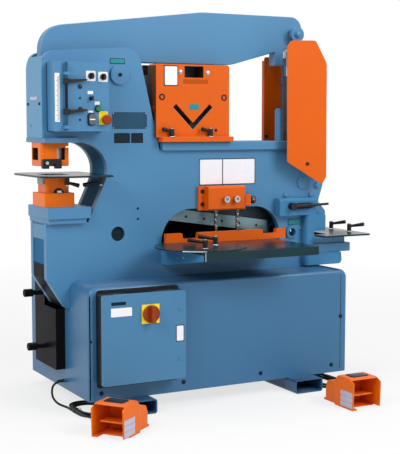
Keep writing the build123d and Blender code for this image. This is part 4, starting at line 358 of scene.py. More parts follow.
MOULDINGS = {
    "black_plastic": (HANDLES, (14, 15, 17)),
    "grey_plastic": ("twin_button", (84, 92, 98)),
    "red_plastic": ("disconnect_knob emergency_stop", (146, 54, 12), 0.4, 0.32, 0.25, 0.2),
    "green_plastic": ("start_button", (22, 120, 84), 0.4, 0.28),
    "yellow_plate": ("", (240, 206, 16), 0.2, 0.36, 0.1),
    "white_plate": ("", (236, 236, 242), 0.15, 0.34, 0.06),
    "label_plate": ("", (186, 188, 206), 0.15, 0.4, 0.15),
    "teal_plate": ("", (44, 134, 142), 0.15, 0.3, 0.1, 0.2),
    "slate_plate": ("", (30, 72, 98), 0.3, 0.46, 0.25, 0.2),
    "pitch_plate": ("", (6, 30, 40), 0.3, 0.46, 0.25, 0.15),
    "cable_rubber": ("left_cord left_coil right_cord right_coil", (15, 16, 18), 0.6, 0.5),
}
for make, table in ((enamel, ENAMELS), (steel, STEELS), (moulding, MOULDINGS)):
    for name, values in table.items():
        make(name, *values)
print("finishes of one colour", len(FINISH))

# %% [markdown]
# Some nodes hold two finishes. The tower's end cover is blue while the guards in the same node are orange,
# the stroke rod is blackened while the ram is bright, the disconnect's seat is yellow on a blue door, the
# enclosure is black outside and grey inside, and the shear table stands on blue brackets. Other second
# tones are painted light and shade: the end cover's blue is lighter than the frame's as painted light on the
# left end, the punch table stands on pale brackets made paler still as painted light where they are in shade,
# and the stripper's windows, the side and inside of the angle shear, the liner deep in the throat and the
# lower part of the jaw's end are darker as painted shade. At the end the cell tells whether a node was
# forgotten.
# %% Finishes of more colours
FAR = -1400
ROD_FRONT = {"Y": (FAR, 150)}
# Painted shade: the stripper's windows are darkened.
enamel("stripper_enamel", "stripper", LIT_ORANGE, PALE_ORANGE, *SATIN,
       [((34, 30, 28), {"X": (-104, 14), "Y": (266, 384)})])
# Painted shade: the left side of the angle shear and the inside of its housing are darkened.
enamel("angle_enamel", "angle_shear_box", ORANGE, PALE_ORANGE, *SATIN,
       [((96, 50, 14), {"X": (FAR, 419)}),
        ((46, 36, 26), {"X": (428, 787), "Y": (206.5, 443.5), "Z": (1130, 1456.5)})])
# Painted shade: the liner deep in the throat and the lower part of the jaw's end are a darker blue.
enamel("spacer_enamel", "frame_spacers", BLUE, LIGHT_BLUE, gloss=0.6, shine=0.05,
       tones=[((44, 116, 158), {"X": (88, 264), "Z": (730, 1112)}),
              ((50, 106, 146), {"X": (FAR, -95), "Z": (520, 682)})])
# Painted light: the end cover's blue is lighter than the frame's blue, for the light on the left end.
enamel("guard_enamel", "guard_sheets", ORANGE, PALE_ORANGE, *SATIN, [((84, 144, 184), {"X": (FAR, -56.5)})])
enamel("door_enamel", "enclosure_door", (66, 123, 163), LIGHT_BLUE,
       tones=[((250, 222, 30), {"Y": (FAR, -80.3)})])
enamel("enclosure_enamel", "electrical_enclosure", (12, 18, 24), (70, 78, 84), shine=0.25,
       tones=[((176, 180, 180), {"X": (35.5, 415.5), "Z": (86.5, 463.5)})])
steel("ram_steel", "punch_ram", *BRIGHT, 0.3, 0.3, 0.3,
      [((36, 80, 114), ROD_FRONT), ((12, 12, 14), {**ROD_FRONT, "Z": (1226, 1381)})])
steel("shear_table_steel", "shear_table", *TABLE, [(BLUE, {"Y": (-192, 226), "Z": (-64, 627.5)})])
# Painted light: the punch table's lower part is pale steel, made paler against the shade it stands in.
steel("punch_table_steel", "punch_table", *TABLE, [((146, 166, 162), {"Z": (-64, 956.5)})])
print("finishes", len(FINISH), "on", len(dressed), "nodes, still bare:", sorted(set(nodes) - dressed))

# %% [markdown]
# Each foot switch hangs on a rubber cable of about three metres. It leaves a gland in the cabinet's end,
# drops to the floor, lies coiled under the cabinet and then runs out to the switch. The coil's turns are
# points of the same route: oblong turns side by side, then a second layer.
# %% Routes of the cables
CABLE = 5.0
FLOOR = -64.0 + CABLE
COIL_TOP = FLOOR + 10.8
GLAND = -28.0
HALF_TURN = 6
COIL_HALF, RUN_STEP = 75, 11.5


def coil_turns(center, way, near, far):
    """Control points of an oblong coil: five runs on the floor from the outside in, four above them out."""
    order = [(k, FLOOR) for k in range(5)] + [(k, COIL_TOP) for k in (4, 3, 2, 1)]
    runs = []
    for number, (k, z) in enumerate(order):
        side = -way if number % 2 == 0 else way
        runs.append((center + side * (COIL_HALF - RUN_STEP * (k // 2)), z))
    points = []
    for number, (x, z) in enumerate(runs):
        start, end = (far, near) if number % 2 == 0 else (near, far)
        points += [(x, start, z), (x, end, z)]
        if number + 1 < len(runs):
            next_x, next_z = runs[number + 1]
            middle, radius = (x + next_x) / 2, (x - next_x) / 2
            bulge = -abs(radius) if number % 2 == 0 else abs(radius)
            for step in range(1, HALF_TURN):
                turn = pi * step / HALF_TURN
                height = z + (next_z - z) * step / HALF_TURN
                points.append((middle + radius * cos(turn), end + bulge * sin(turn), height))
    return points


ROUTES = {
    "left": ([(-14, 267, 43), (-64, 267, 43), (-80, 255, -11), (-64, 229.5, -47), (-30, 190, FLOOR)],
             coil_turns(45, 1, 50, 150),
             [(-30, 4, COIL_TOP), (-12, -40, FLOOR + 5), (30, -74, FLOOR), (92.5, -88.6, FLOOR),
              (142.3, -93, FLOOR), (167.5, -124.1, GLAND - 18), (162.6, -163.8, GLAND),
              (130.6, -187.8, GLAND)]),
    "right": ([(1350, 267, 43), (1400, 267, 43), (1416, 255, -11), (1347, 214.5, -47), (1313, 160, FLOOR)],
              coil_turns(1238, -1, 20, 120),
              [(1313, -26, COIL_TOP), (1297, -70, FLOOR + 5), (1256, -100, FLOOR), (1196, -116, FLOOR),
               (1150, -132, GLAND - 18), (1128, -166, GLAND), (1128, -206, GLAND)]),
}
print("routes of the cables:", list(ROUTES))

# %% [markdown]
# A cable is one smooth line, so it is one NURBS curve with a round bevel, through the same route as the solid
# that it replaces. A swept mesh would do as well, but a curve stays round in every bend by itself.
# %% Cables


def linked(name, data):
    """A new object in the scene, at the origin."""
    made = bpy.data.objects.new(name, data)
    bpy.context.collection.objects.link(made)
    return made


def cable(side, points):
    """One cable as a NURBS curve."""
    curve = tuned(bpy.data.curves.new(side + "_cable", "CURVE"), dimensions="3D", resolution_u=6,
                  bevel_depth=CABLE * MM, bevel_resolution=3, use_fill_caps=True)
    spline = curve.splines.new("NURBS")
    spline.points.add(len(points) - 1)
    for control, point in zip(spline.points, points):
        control.co = (*at(*point), 1)
    tuned(spline, order_u=3, use_endpoint_u=True)
    curve.materials.append(FINISH["cable_rubber"])
    made = linked(side + "_cable", curve)
    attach(made, "frame")
    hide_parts(side + "_cord", side + "_coil")
    return made


for side, (drop, turns, lead) in ROUTES.items():
    cable(side, drop + turns + lead)
    print(side, "cable has", len(drop + turns + lead), "control points")

# %% [markdown]
# Small parts are built in millimetres as rings of points that are joined from one to the next, which is how
# a lathe shape, a plate with a chamfer or a tapered sleeve can all be described. Rings with the same number
# of points always fit together, so a rectangle with round corners has as many here as a circle. A skin is
# such a row of rings, capped at both ends or closed on itself.
# %% Outlines and skins
CORNER_STEPS = 6
ROUND = 4 * CORNER_STEPS


def circle(a, b, radius):
    """Points of a circle, half a step off the axes so that it fits a plate's ring."""
    turns = [2 * pi * (k + 0.5) / ROUND for k in range(ROUND)]
    return [(a + radius * cos(turn), b + radius * sin(turn)) for turn in turns]


def oblong(a, b, half_a, half_b, radius):
    """Points of a rectangle with round corners."""
    points = []
    for quarter, (way_a, way_b) in enumerate(((1, 1), (-1, 1), (-1, -1), (1, -1))):
        for step in range(CORNER_STEPS):
            turn = pi / 2 * (quarter + step / (CORNER_STEPS - 1))
            points.append((a + way_a * (half_a - radius) + radius * cos(turn),
                           b + way_b * (half_b - radius) + radius * sin(turn)))
    return points


def facing_front(points, y):
    return [(a, y, b) for a, b in points]


def facing_end(points, x):
    return [(x, a, b) for a, b in points]


def facing_up(points, z):
    return [(a, b, z) for a, b in points]


def solid(rings):
    """A skin that is capped at both ends."""
    return rings, False


def tube(rings):
    """A skin whose last ring joins the first, as round a hole."""
    return rings, True


def band(outer, inner, near, far, facing=facing_front):
    """A skin between two outlines, from one place to another."""
    return tube([facing(*ring) for ring in ((outer, near), (outer, far), (inner, far), (inner, near))])


print("a round outline has", ROUND, "points")


def loft(shape, rings, loop):
    """Joins rings of points into a closed skin."""
    made = [[shape.verts.new(point) for point in ring] for ring in rings]
    pairs = list(zip(made, made[1:])) + ([(made[-1], made[0])] if loop else [])
    for one, other in pairs:
        count = max(len(one), len(other))
        for k in range(count):
            after = (k + 1) % count
            corners = [one[k % len(one)], one[after % len(one)],
                       other[after % len(other)], other[k % len(other)]]
            shape.faces.new(dict.fromkeys(corners))
    for ring in () if loop else (made[0], made[-1]):
        if len(ring) > 2:
            shape.faces.new(ring)


def meshed(name, skins):
    """A mesh from skins drawn in millimetres, with its faces outwards."""
    shape = bmesh.new()
    for rings, loop in skins:
        loft(shape, rings, loop)
    for vert in shape.verts:
        vert.co = at(*vert.co)
    bmesh.ops.recalc_face_normals(shape, faces=shape.faces)
    mesh = bpy.data.meshes.new(name)
    shape.to_mesh(mesh)
    shape.free()
    return mesh


def shaded(mesh, sharp):
    """Smooth shading with sharp edges over an angle in degrees."""
    mesh.polygons.foreach_set("use_smooth", [True] * len(mesh.polygons))
    mesh.set_sharp_from_angle(angle=radians(sharp))


def settled(made, body):
    """Gives a piece its body."""
    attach(made, body)
    return made


def piece(name, worn, *skins, body="frame", slot=None, sharp=32):
    """One object from skins."""
    mesh = meshed(name, skins)
    shaded(mesh, sharp)
    mesh.materials.append(FINISH[worn])
    return settled(linked(name, mesh), body)


# %% [markdown]
# A moulded sleeve keeps each cable from kinking where it leaves a gland: thick at the housing, thin at its
# end, with a few grooves so that it can bend. It is a loft of circles along the cable's first straight run.
# %% Strain reliefs
SLEEVE_LONG, SLEEVE_STEPS = 34.0, 16
SLEEVE_R, TAPER, GROOVE = 8.4, 2.6, 0.7


def sleeve(start, way):
    """A tapered, grooved sleeve from a gland along a direction."""
    heading = Vector(way).normalized()
    turn = heading.to_track_quat("Z", "Y").to_matrix()
    rings = []
    for step in range(SLEEVE_STEPS + 1):
        share = step / SLEEVE_STEPS
        radius = SLEEVE_R - TAPER * share - (GROOVE if step % 4 in (2, 3) else 0)
        middle = Vector(start) + heading * SLEEVE_LONG * share
        rings.append([middle + turn @ Vector((a, b, 0)) for a, b in circle(0, 0, radius)])
    return solid(rings)


SLEEVES = (((-13, 267, 43), (-1, 0, 0)), ((1349, 267, 43), (1, 0, 0)),
           ((130.6, -187.8, GLAND), (0.8, 0.6, 0)), ((1128, -207, GLAND), (0, 1, 0)))
piece("strain_reliefs", "cable_rubber", *[sleeve(*place) for place in SLEEVES])
print(len(SLEEVES), "strain reliefs")

# %% [markdown]
# Two flat ties hold each coil together. A tie is a band round the bundle of cables, so it is a closed ring
# of four outlines: outside front, outside back, inside back, inside front.
# %% Cable ties
TIE_WIDE, TIE_HALF = 6.0, 18.0


def tie(x, y):
    """A band round the runs of a coil at one place along Y."""
    middle = FLOOR + 5.4
    outer, inner = oblong(x, middle, TIE_HALF, 10.4, 5.5), oblong(x, middle, TIE_HALF - 1.2, 9.4, 4.5)
    return band(outer, inner, y, y + TIE_WIDE)


for side, left, right, y in (("left", -18.5, 108.5, 96), ("right", 1174.5, 1301.5, 66)):
    piece(side + "_cable_ties", "black_plastic", tie(left, y), tie(right, y))

# %% [markdown]
# Screws, bolts, threads, ticks and louvres are a few shapes that come again and again. Copying them by hand
# works, but a Geometry Nodes tree says it once: a shape with named sizes, put on points or along a line. The
# helpers below open such a tree, and close it with Realize Instances and Set Material.
# %% Helpers for Geometry Nodes
GEOMETRY = "NodeSocketGeometry"


def plan(name, **sizes):
    """A new tree with geometry and a finish coming in, and a socket for every size."""
    tree = bpy.data.node_groups.new(name, "GeometryNodeTree")
    sockets(tree, "INPUT", Geometry=(GEOMETRY,), Finish=("NodeSocketMaterial",), **sizes)
    sockets(tree, "OUTPUT", Geometry=(GEOMETRY,))
    return tree, tree.nodes.new("NodeGroupInput").outputs


def ring_curve(tree, count, radius):
    return first(tree, "GeometryNodeCurvePrimitiveCircle", {"Resolution": count, "Radius": radius})


def drum(tree, count, radius, depth):
    return first(tree, "GeometryNodeMeshCylinder", {"Vertices": count, "Radius": radius, "Depth": depth})


def joined(tree, *parts):
    """Several geometries as one."""
    node = put(tree, "GeometryNodeJoinGeometry")
    for part in parts:
        tree.links.new(part, node.inputs[0])
    return node.outputs[0]


def raised(tree, geometry, height):
    """A shape moved up along its own axis."""
    lift = first(tree, "ShaderNodeCombineXYZ", {"Z": height})
    return first(tree, "GeometryNodeTransform", {"Geometry": geometry, "Translation": lift})


def close(tree, sizes, instances):
    """The end of every tree: real geometry with a finish."""
    real = first(tree, "GeometryNodeRealizeInstances", {"Geometry": instances})
    done = first(tree, "GeometryNodeSetMaterial", {"Geometry": real, "Material": sizes["Finish"]})
    put(tree, "NodeGroupOutput", {"Geometry": done})


def on_points(tree, sizes, unit):
    """Puts a shape on every point, with its axis along the point's own facing, and closes the tree."""
    facing = first(tree, "GeometryNodeInputNamedAttribute", {"Name": "facing"}, data_type="FLOAT_VECTOR")
    turn = first(tree, "FunctionNodeAlignRotationToVector", {"Vector": facing}, axis="Z")
    close(tree, sizes, first(tree, "GeometryNodeInstanceOnPoints",
                             {"Points": sizes["Geometry"], "Instance": unit, "Rotation": turn}))


print("tree helpers ready")

# %% [markdown]
# A tree starts from a mesh of points, each with the way that its screw faces, or from a drawn shape. Its
# result is kept as a plain mesh, because a live modifier would be lost in an export.
# %% From a tree to a plain mesh
FRONT, BACK, LEFT, UP, DOWN = (0, -1, 0), (0, 1, 0), (-1, 0, 0), (0, 0, 1), (0, 0, -1)


def seeds(*groups):
    """A mesh of points. Each group is a facing and the places in millimetres that have it."""
    pairs = [(place, way) for way, places in groups for place in places]
    mesh = bpy.data.meshes.new("seeds")
    mesh.from_pydata([at(*place) for place, way in pairs], [], [])
    facing = mesh.attributes.new("facing", "FLOAT_VECTOR", "POINT")
    facing.data.foreach_set("vector", [value for place, way in pairs for value in way])
    return mesh


def grown(name, worn, seed, tree, body="frame", **values):
    """Runs a tree on a seed mesh, keeps the result as a plain mesh, and gives it its body."""
    values["Finish"] = FINISH[worn]
    made = linked(name, seed)
    modifier = made.modifiers.new(name, "NODES")
    modifier.node_group = tree
    for socket in tree.interface.items_tree:
        if socket.in_out == "INPUT" and socket.name in values:
            modifier[socket.identifier] = values[socket.name]
    result = bpy.data.meshes.new_from_object(made.evaluated_get(bpy.context.evaluated_depsgraph_get()))
    made.modifiers.remove(modifier)
    shape = bmesh.new()
    shape.from_mesh(result)
    bmesh.ops.remove_doubles(shape, verts=shape.verts, dist=0.001 * MM)
    bmesh.ops.recalc_face_normals(shape, faces=shape.faces)
    shape.to_mesh(result)
    shape.free()
    shaded(result, 32)
    made.data = result
    return settled(made, body)


print("seed and mesh helpers ready")

# %% [markdown]
# A socket head screw is a disc with a six sided hole. Two circles, one of them with six sides, filled and
# extruded, give it; the filled face turned over closes it below, and a short disc is the bottom of the hole.
# A hexagon bolt is a washer, a six sided head and a small crown.
# %% Socket screws and hexagon bolts
cap_tree, sizes = plan("socket_screws", Radius=(FLOAT, 6 * MM), Height=(FLOAT, 5 * MM))
rim = ring_curve(cap_tree, 20, sizes["Radius"])
key = ring_curve(cap_tree, 6, times(cap_tree, sizes["Radius"], 0.56))
face = first(cap_tree, "GeometryNodeFillCurve", {"Curve": joined(cap_tree, rim, key)})
head = first(cap_tree, "GeometryNodeExtrudeMesh",
             {"Mesh": face, "Offset Scale": sizes["Height"], "Individual": False})
under = first(cap_tree, "GeometryNodeFlipFaces", {"Mesh": face})
collar = first(cap_tree, "GeometryNodeMergeByDistance",
               {"Geometry": joined(cap_tree, head, under), "Distance": 0.01 * MM})
well_t = times(cap_tree, sizes["Height"], 0.4)
well = drum(cap_tree, 12, times(cap_tree, sizes["Radius"], 0.7), well_t)
on_points(cap_tree, sizes, joined(cap_tree, collar, raised(cap_tree, well, times(cap_tree, well_t, 0.51))))

hex_tree, sizes = plan("hexagon_bolts", Radius=(FLOAT, 8 * MM))
washer_r, washer_t, head_t, crown_low, crown_top, crown_t = [
    times(hex_tree, sizes["Radius"], share) for share in (1.28, 0.22, 0.66, 0.84, 0.6, 0.1)]
washer = drum(hex_tree, 24, washer_r, washer_t)
block = drum(hex_tree, 6, sizes["Radius"], head_t)
crown = first(hex_tree, "GeometryNodeMeshCone", {"Vertices": 18, "Radius Bottom": crown_low,
                                                 "Radius Top": crown_top, "Depth": crown_t})
stack = joined(hex_tree, raised(hex_tree, washer, times(hex_tree, washer_t, 0.5)),
               raised(hex_tree, block, plus(hex_tree, washer_t, times(hex_tree, head_t, 0.5))),
               raised(hex_tree, crown, plus(hex_tree, washer_t, head_t)))
on_points(hex_tree, sizes, stack)


def screws(name, worn, radius, height, *groups, body="frame"):
    """Socket screws of one size on one body."""
    grown(name, worn, seeds(*groups), cap_tree, body, Radius=radius * MM, Height=height * MM)


def bolts(name, worn, radius, *groups, body="frame"):
    """Hexagon bolts of one size on one body."""
    grown(name, worn, seeds(*groups), hex_tree, body, Radius=radius * MM)


print("screw trees", len(cap_tree.nodes), "and", len(hex_tree.nodes), "nodes")

# %% [markdown]
# A second kind of tree repeats a whole drawn shape along a straight line, as a press tool does with louvres
# or an engraver with ticks. The shape is drawn once in its first place; the tree puts it on a Mesh Line.
# %% Shapes in a row
row_tree, sizes = plan("row", Count=("NodeSocketInt", 2), Step=(VECTOR, (0, 0, 0.01)))
line = first(row_tree, "GeometryNodeMeshLine", {"Count": sizes["Count"], "Offset": sizes["Step"]})
close(row_tree, sizes, first(row_tree, "GeometryNodeInstanceOnPoints",
                             {"Points": line, "Instance": sizes["Geometry"]}))


def in_a_row(name, worn, count, step, *skins, body="frame"):
    """Skins drawn in millimetres, repeated along a step."""
    grown(name, worn, meshed(name, skins), row_tree, body, Count=count, Step=tuple(v * MM for v in step))


print("row tree", len(row_tree.nodes), "nodes")

# %% [markdown]
# The operator's box carries legends. A legend is a thin plate with round corners and a chamfered rim, and
# where a switch passes through it has a hole: its outline and the hole are rings with the same number of
# points, joined front and back. They are blank.
# %% Legends of the operator's box
PANEL = 145.0


def card(a0, a1, b0, b1, corner, less=0.0):
    """A rectangle with round corners from its four edges, each drawn in by a little."""
    return oblong((a0 + a1) / 2, (b0 + b1) / 2, (a1 - a0) / 2 - less, (b1 - b0) / 2 - less, corner)


def plate(x0, x1, z0, z1, y, thick, corner=4.0, edge=0.4):
    """A thin plate on a front face at y, with round corners and a chamfered rim."""
    full, less = card(x0, x1, z0, z1, corner), card(x0, x1, z0, z1, corner, abs(edge))
    return solid([facing_front(full, y), facing_front(full, y - thick + edge), facing_front(less, y - thick)])


def eyelet(x0, x1, z0, z1, thick, corner, hole):
    """A plate on the panel with a round hole."""
    return band(card(x0, x1, z0, z1, corner), circle(*hole), PANEL, PANEL - thick)


FIELDS = ((63, 88, 1315, 1329), (95, 118, 1270, 1284), (66, 88, 1236, 1244))
piece("selector_legends", "white_plate", eyelet(56, 100, 1371, 1415, 1.0, 5, (79, 1393, 14)),
      eyelet(113, 157, 1368, 1412, 1.0, 5, (135, 1390, 14)),
      *[plate(*field, PANEL, 0.8, 1.5) for field in FIELDS])
piece("stop_legend", "yellow_plate", eyelet(114, 157, 1184, 1242, 1.2, 6, (144, 1205, 13.5)))
piece("twin_button_bar", "white_plate", plate(66.5, 91.5, 1204.5, 1209.5, PANEL - 14, 0.5, 1.5, 0.2),
      body="twin_button")
print("legends done")

# %% [markdown]
# A scale on the box's left edge shows the stroke. The strip is one plate. Its ticks are one long and four
# short bars, drawn once and repeated upwards by the row tree.
# %% Stroke scale
TICK_STEP, TICK_HALF = 4.2, 0.7
piece("scale_strip", "white_plate", plate(-87, -65, 1196, 1403, PANEL, 0.8, 2))
ticks = []
for number in range(5):
    middle = 1203 + TICK_STEP * number
    ticks.append(plate(-76 if number else -82, -67, middle - TICK_HALF, middle + TICK_HALF, PANEL - 0.8, 0.25,
                       0.3, 0.1))
in_a_row("scale_ticks", "black_plastic", 9, (0, 0, 5 * TICK_STEP), *ticks)
print("scale done")

# %% [markdown]
# Round and oblong collars frame the push buttons, two low limit plungers stand in the path of the collars'
# fingers, and a dark gasket between the box and the tower also paints the shadow line there. All are rings
# or lathe shapes.
# %% Button collars, plungers and a gasket with painted shadow
START_RIM = ((0, 15), (5, 15), (7, 13.6), (7, 11.8), (0, 11.8))
TWIN_RIM = ((0, 3.6), (5, 3.6), (7, 2.4), (7, 0.8), (0, 0.8))
PLUNGER = ((0, 9.5), (3.4, 9.5), (4.2, 8.6), (5.4, 6), (5.8, 0))


def turned(x, z, face, profile, hole=False):
    """A lathe shape on a front face: pairs of a distance out of the face and a radius."""
    return [facing_front(circle(x, z, radius), face - out) if radius else [(x, face - out, z)]
            for out, radius in profile], hole


piece("button_collars", "black_plastic",
      turned(109, 1253, PANEL, START_RIM, hole=True),
      tube([facing_front(oblong(79, 1207, 14 + more, 24 + more, 9 + more), PANEL - out)
            for out, more in TWIN_RIM]),
      *[turned(28, z, PANEL, PLUNGER) for z in (1347, 1251)])
screws("panel_screws", "blackened_steel", 4.6, 2.6, (FRONT, [(27, PANEL, 1298), (26, PANEL, 1205)]))
# Painted shadow: the dark gasket stands for the shadow line between the box and the tower.
piece("box_gasket_shadow", "cable_rubber",
      band(oblong(35, 1303, 129.6, 149.6, 8), oblong(35, 1303, 120, 140, 6), 225, 221))
print("operator's box done")

# %% [markdown]
# Plates are riveted or stuck on the frame: a dark backing with a paler field on it, or one plain plate. They
# are blank. A table lists each piece with its finish, its body, and its plates as left, right, low, high and
# the face that carries it; one loop makes them.
# %% Plates on the frame and the door
FACE, ANGLE_FACE, DOOR_FACE = 225.0, 205.0, -80.0
PLATES = (
    ("plate_backings", "pitch_plate", "frame",
     ((202, 275, 1452, 1477, FACE), (648, 951, 902, 1026, FACE), (458, 529, 1359, 1451, ANGLE_FACE),
      (1138, 1214, 697, 726, FACE))),
    ("station_plates", "teal_plate", "frame",
     ((204.5, 272.5, 1454.5, 1474.5, FACE - 1), (585, 637, 1251, 1278, ANGLE_FACE),
      (1140.5, 1211.5, 699.5, 723.5, FACE - 1))),
    ("notice_plates", "white_plate", "frame",
     ((652, 770, 906, 1022, FACE - 1), (775, 947, 906, 1022, FACE - 1),
      (462, 525, 1363, 1447, ANGLE_FACE - 1))),
    ("rating_plate", "slate_plate", "frame", ((211, 382, 1165, 1240, FACE),)),
    ("pitch_plates", "pitch_plate", "frame", ((220, 297, 1102, 1147, FACE), (303, 362, 1102, 1147, FACE))),
    # Painted shade: a dark orange strip stands for the shade of the recess under the angle shear's window.
    ("angle_recess_shade", "shaded_orange_enamel", "frame", ((555, 684, 1371, 1391, ANGLE_FACE),)),
    ("door_backings", "pitch_plate", "door",
     ((69, 136, 425, 439, DOOR_FACE), (373, 412, 245, 317, DOOR_FACE))),
    ("door_plates", "white_plate", "door",
     ((67, 164, 376, 413, DOOR_FACE), (376, 409, 248, 314, DOOR_FACE - 1))),
)
for name, worn, body, fields in PLATES:
    piece(name, worn, *[plate(*field, 1.0, 3) for field in fields], body=body)
rivets = [(x, FACE - 1, z) for xs, zs in (((216, 377), (1170, 1235)), ((653.5, 945.5), (908, 1020)))
          for x in xs for z in zs]
screws("plate_rivets", "screw_steel", 2.6, 1.2, (FRONT, rivets))
print("plates done")

# %% [markdown]
# Bolts and screws hold the stations on the frame. They are grouped by finish, size and body, and each group
# is one run of a screw tree.
# %% Bolts and screws on the stations
HOLD_FACE, GUARD_FACE, TABLE_END, PLATE_REAR = 170.0, 150.0, 451.0, 425.0
bolts("angle_bolts", "screw_steel", 8.5, (FRONT, [(541, ANGLE_FACE, 1423), (682, ANGLE_FACE, 1421)]))
bolts("frame_bolts", "blue_enamel", 15, (FRONT, [(1306, FACE, 888)]))
bolts("cover_bolts", "blue_enamel", 10, (FRONT, [(1121, FACE, 842.5), (1266, FACE, 842.5)]))
screws("hold_down_bolts", "bright_steel", 15, 22, (FRONT, [(757, HOLD_FACE, 838), (812, HOLD_FACE, 838)]))
screws("sunk_screws", "blackened_steel", 7.5, 1.2, (FRONT, [(x, ANGLE_FACE, 1158) for x in (485, 726)]))
screws("ear_screws", "blackened_steel", 10, 2, (FRONT, [(656, 207, 875), (656, 207, 815)]))
screws("guard_screws", "blackened_steel", 8, 5,
       (FRONT, [(1199, GUARD_FACE, 996), (1134, PLATE_REAR, 1126), (1244, PLATE_REAR, 1126)]))
screws("table_screws", "screw_steel", 7.5, 4, (LEFT, [(TABLE_END, 53.5, 592), (TABLE_END, -5.6, 598)]),
       (FRONT, [(-92, 236, 1018), (1134, FACE, 680), (1210, FACE, 680)]))
bolts("holder_bolt", "screw_steel", 11, (UP, [(-30, 253, 886.5)]))
print("stations bolted")

# %% [markdown]
# The die holder has a pocket round its bolt, drawn as painted shade: a low dark disc that faces up, and a
# dark half round field upright behind it. Both are thin skins a little proud of the solid, which is simpler
# than cutting it.
# %% Painted shade of the die holder's pocket


def between(facing, outline, *places):
    """An outline drawn straight from one place to another."""
    return solid([facing(outline, place) for place in places])


half_round = [(-30 + 24 * cos(pi * step / 16), 885.5 + 21 * sin(pi * step / 16)) for step in range(17)]
# Painted shade: dark skins stand for the hollow of the pocket, which is not cut.
piece("holder_pocket_shade", "black_plastic",
      solid([facing_up(circle(-30, 258, radius), z) for z, radius in ((885, 21), (886, 21), (886.6, 20.2))]),
      between(facing_front, half_round, 265.2, 264))
print("pocket done")

# %% [markdown]
# The blade's screws ride on the shear arm. They are flush, because the blade passes close to the lower one.
# The bolt of the link pin rides on the links, and more bolts stand on the back of the rear plate.
# %% Screws of the blade, the links and the rear
blade_spots = [(x, 285.5, 767 - 0.147 * (x - 522)) for x in range(515, 1000, 96)]
screws("blade_screws", "blackened_steel", 6.5, 0.4, (FRONT, blade_spots), body="shear_arm")
bolts("link_bolts", "blue_enamel", 15, (FRONT, [(1208, 257, 1620)]), body="links")
rear_spots = [(x, PLATE_REAR, z) for xs, zs in (((150, 370), (1180, 1235)), ((-60, 110), (585, 685)))
              for x in xs for z in zs]
bolts("rear_bolts", "blue_enamel", 13, (BACK, rear_spots))
print(len(blade_spots), "blade screws and", len(rear_spots), "rear bolts")

# %% [markdown]
# Painted highlights: the glints on the shear table's front corner and on the rim of its mitre disc are thin
# bright steel strips, a plate on the corner and a loft of small sections round a part of the disc.
# %% Painted highlights on the shear table
RIM_SECTION = ((204.8, 640.6), (205.6, 641), (205.6, 645.2), (204.8, 645.8))
rim_turns = [radians(-140 + 2.5 * step) for step in range(13)]
piece("table_glints", "bright_steel", plate(TABLE_END, TABLE_END + 3.5, 603, 639, -205, 0.5, 0.6, 0.2),
      solid([[(540 + r * cos(turn), 8 + r * sin(turn), z) for r, z in RIM_SECTION] for turn in rim_turns]))
print("edges done")

# %% [markdown]
# The tower's end cover is held by two dark screws and carries a small blank plate and a small spot of
# colour. Both are thin plates that face the left end, drawn as rings in the plane of that end. A thicker
# plate closes the upper part of the gap in the jaw's end below.
# %% Fittings of the end cover
END_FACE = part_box("guard_sheets")[0].x / MM - CORNER.x
screws("end_screws", "blackened_steel", 6.5, 4, (LEFT, [(END_FACE, y, 1274) for y in (252, 400)]))
for name, worn, spot in (("end_plate", "label_plate", (328, 1299, 45, 7, 2)),
                         ("end_spot", "teal_plate", (372, 1180, 9, 6, 1.5))):
    piece(name, worn, between(facing_end, oblong(*spot), END_FACE, END_FACE - 0.8))
piece("jaw_end_plate", "blue_enamel", solid([facing_end(oblong(325, 714, 67.5 - less, 32 - less, 3), x)
                                             for x, less in ((-100, 0), (-103.4, 0), (-104.4, 1))]))
print("end cover at", END_FACE)

# %% [markdown]
# Each clamp lever is a casting on a stud. A bright socket screw closes its hub and turns with it, and a
# bright ring lies round its foot on the table.
# %% Hub screws and foot rings of the clamp levers
HUB_HIGH = 36.0
FOOT_RING = ((0, 17), (1.6, 17), (2.6, 16), (2.6, 11.6), (0, 11.6))
NOTCH_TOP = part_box("notch_table")[1].z / MM - CORNER.z
LEVER_FEET = ((-4, 228, 957, -1), (145, 200, 957, -1), (492, 192, 1129, 1), (692, 192, 1129, 1),
              (514, -86, 646, 1), (624, 23, 646, 1), (1515, 398, NOTCH_TOP, 1), (1515, 240, NOTCH_TOP, 1))
foot_rings = []
for name, (x, y, z, way) in zip(PAIRED_LEVERS, LEVER_FEET):
    hub = UP if way > 0 else DOWN, [(x, y, z + way * HUB_HIGH)]
    screws(name + "_screw", "screw_steel", 7, 4, hub, body=name)
    foot_rings.append(tube([facing_up(circle(x, y, radius), z + way * up) for up, radius in FOOT_RING]))
piece("lever_rings", "screw_steel", *foot_rings)
print(len(foot_rings), "levers finished")

# %% [markdown]
# The two hold-down screws have a fine thread where they come out of the bracket, with a lock nut above. A
# thread is a profile swept along a helix: Curve Spiral and Curve to Mesh give it, with the turns as an
# input. The adjusting knob at the bracket's end is a fluted sleeve, a loft whose radius goes up and down.
# %% Threads, lock nuts and fluted knob
thread_tree, sizes = plan("thread", Radius=(FLOAT, 8 * MM), Long=(FLOAT, 80 * MM), Turns=(FLOAT, 30.0),
                          Crest=(FLOAT, 0.8 * MM))
helix = first(thread_tree, "GeometryNodeCurveSpiral",
              {"Resolution": 14, "Rotations": sizes["Turns"], "Start Radius": sizes["Radius"],
               "End Radius": sizes["Radius"], "Height": sizes["Long"]})
flank = ring_curve(thread_tree, 4, sizes["Crest"])
ridge = first(thread_tree, "GeometryNodeCurveToMesh",
              {"Curve": helix, "Profile Curve": flank, "Fill Caps": True})
on_points(thread_tree, sizes, ridge)
ROD_XS, ROD_Y, BRACKET_LOW, NUT_T = (733, 848), 215.0, 787.0, 9
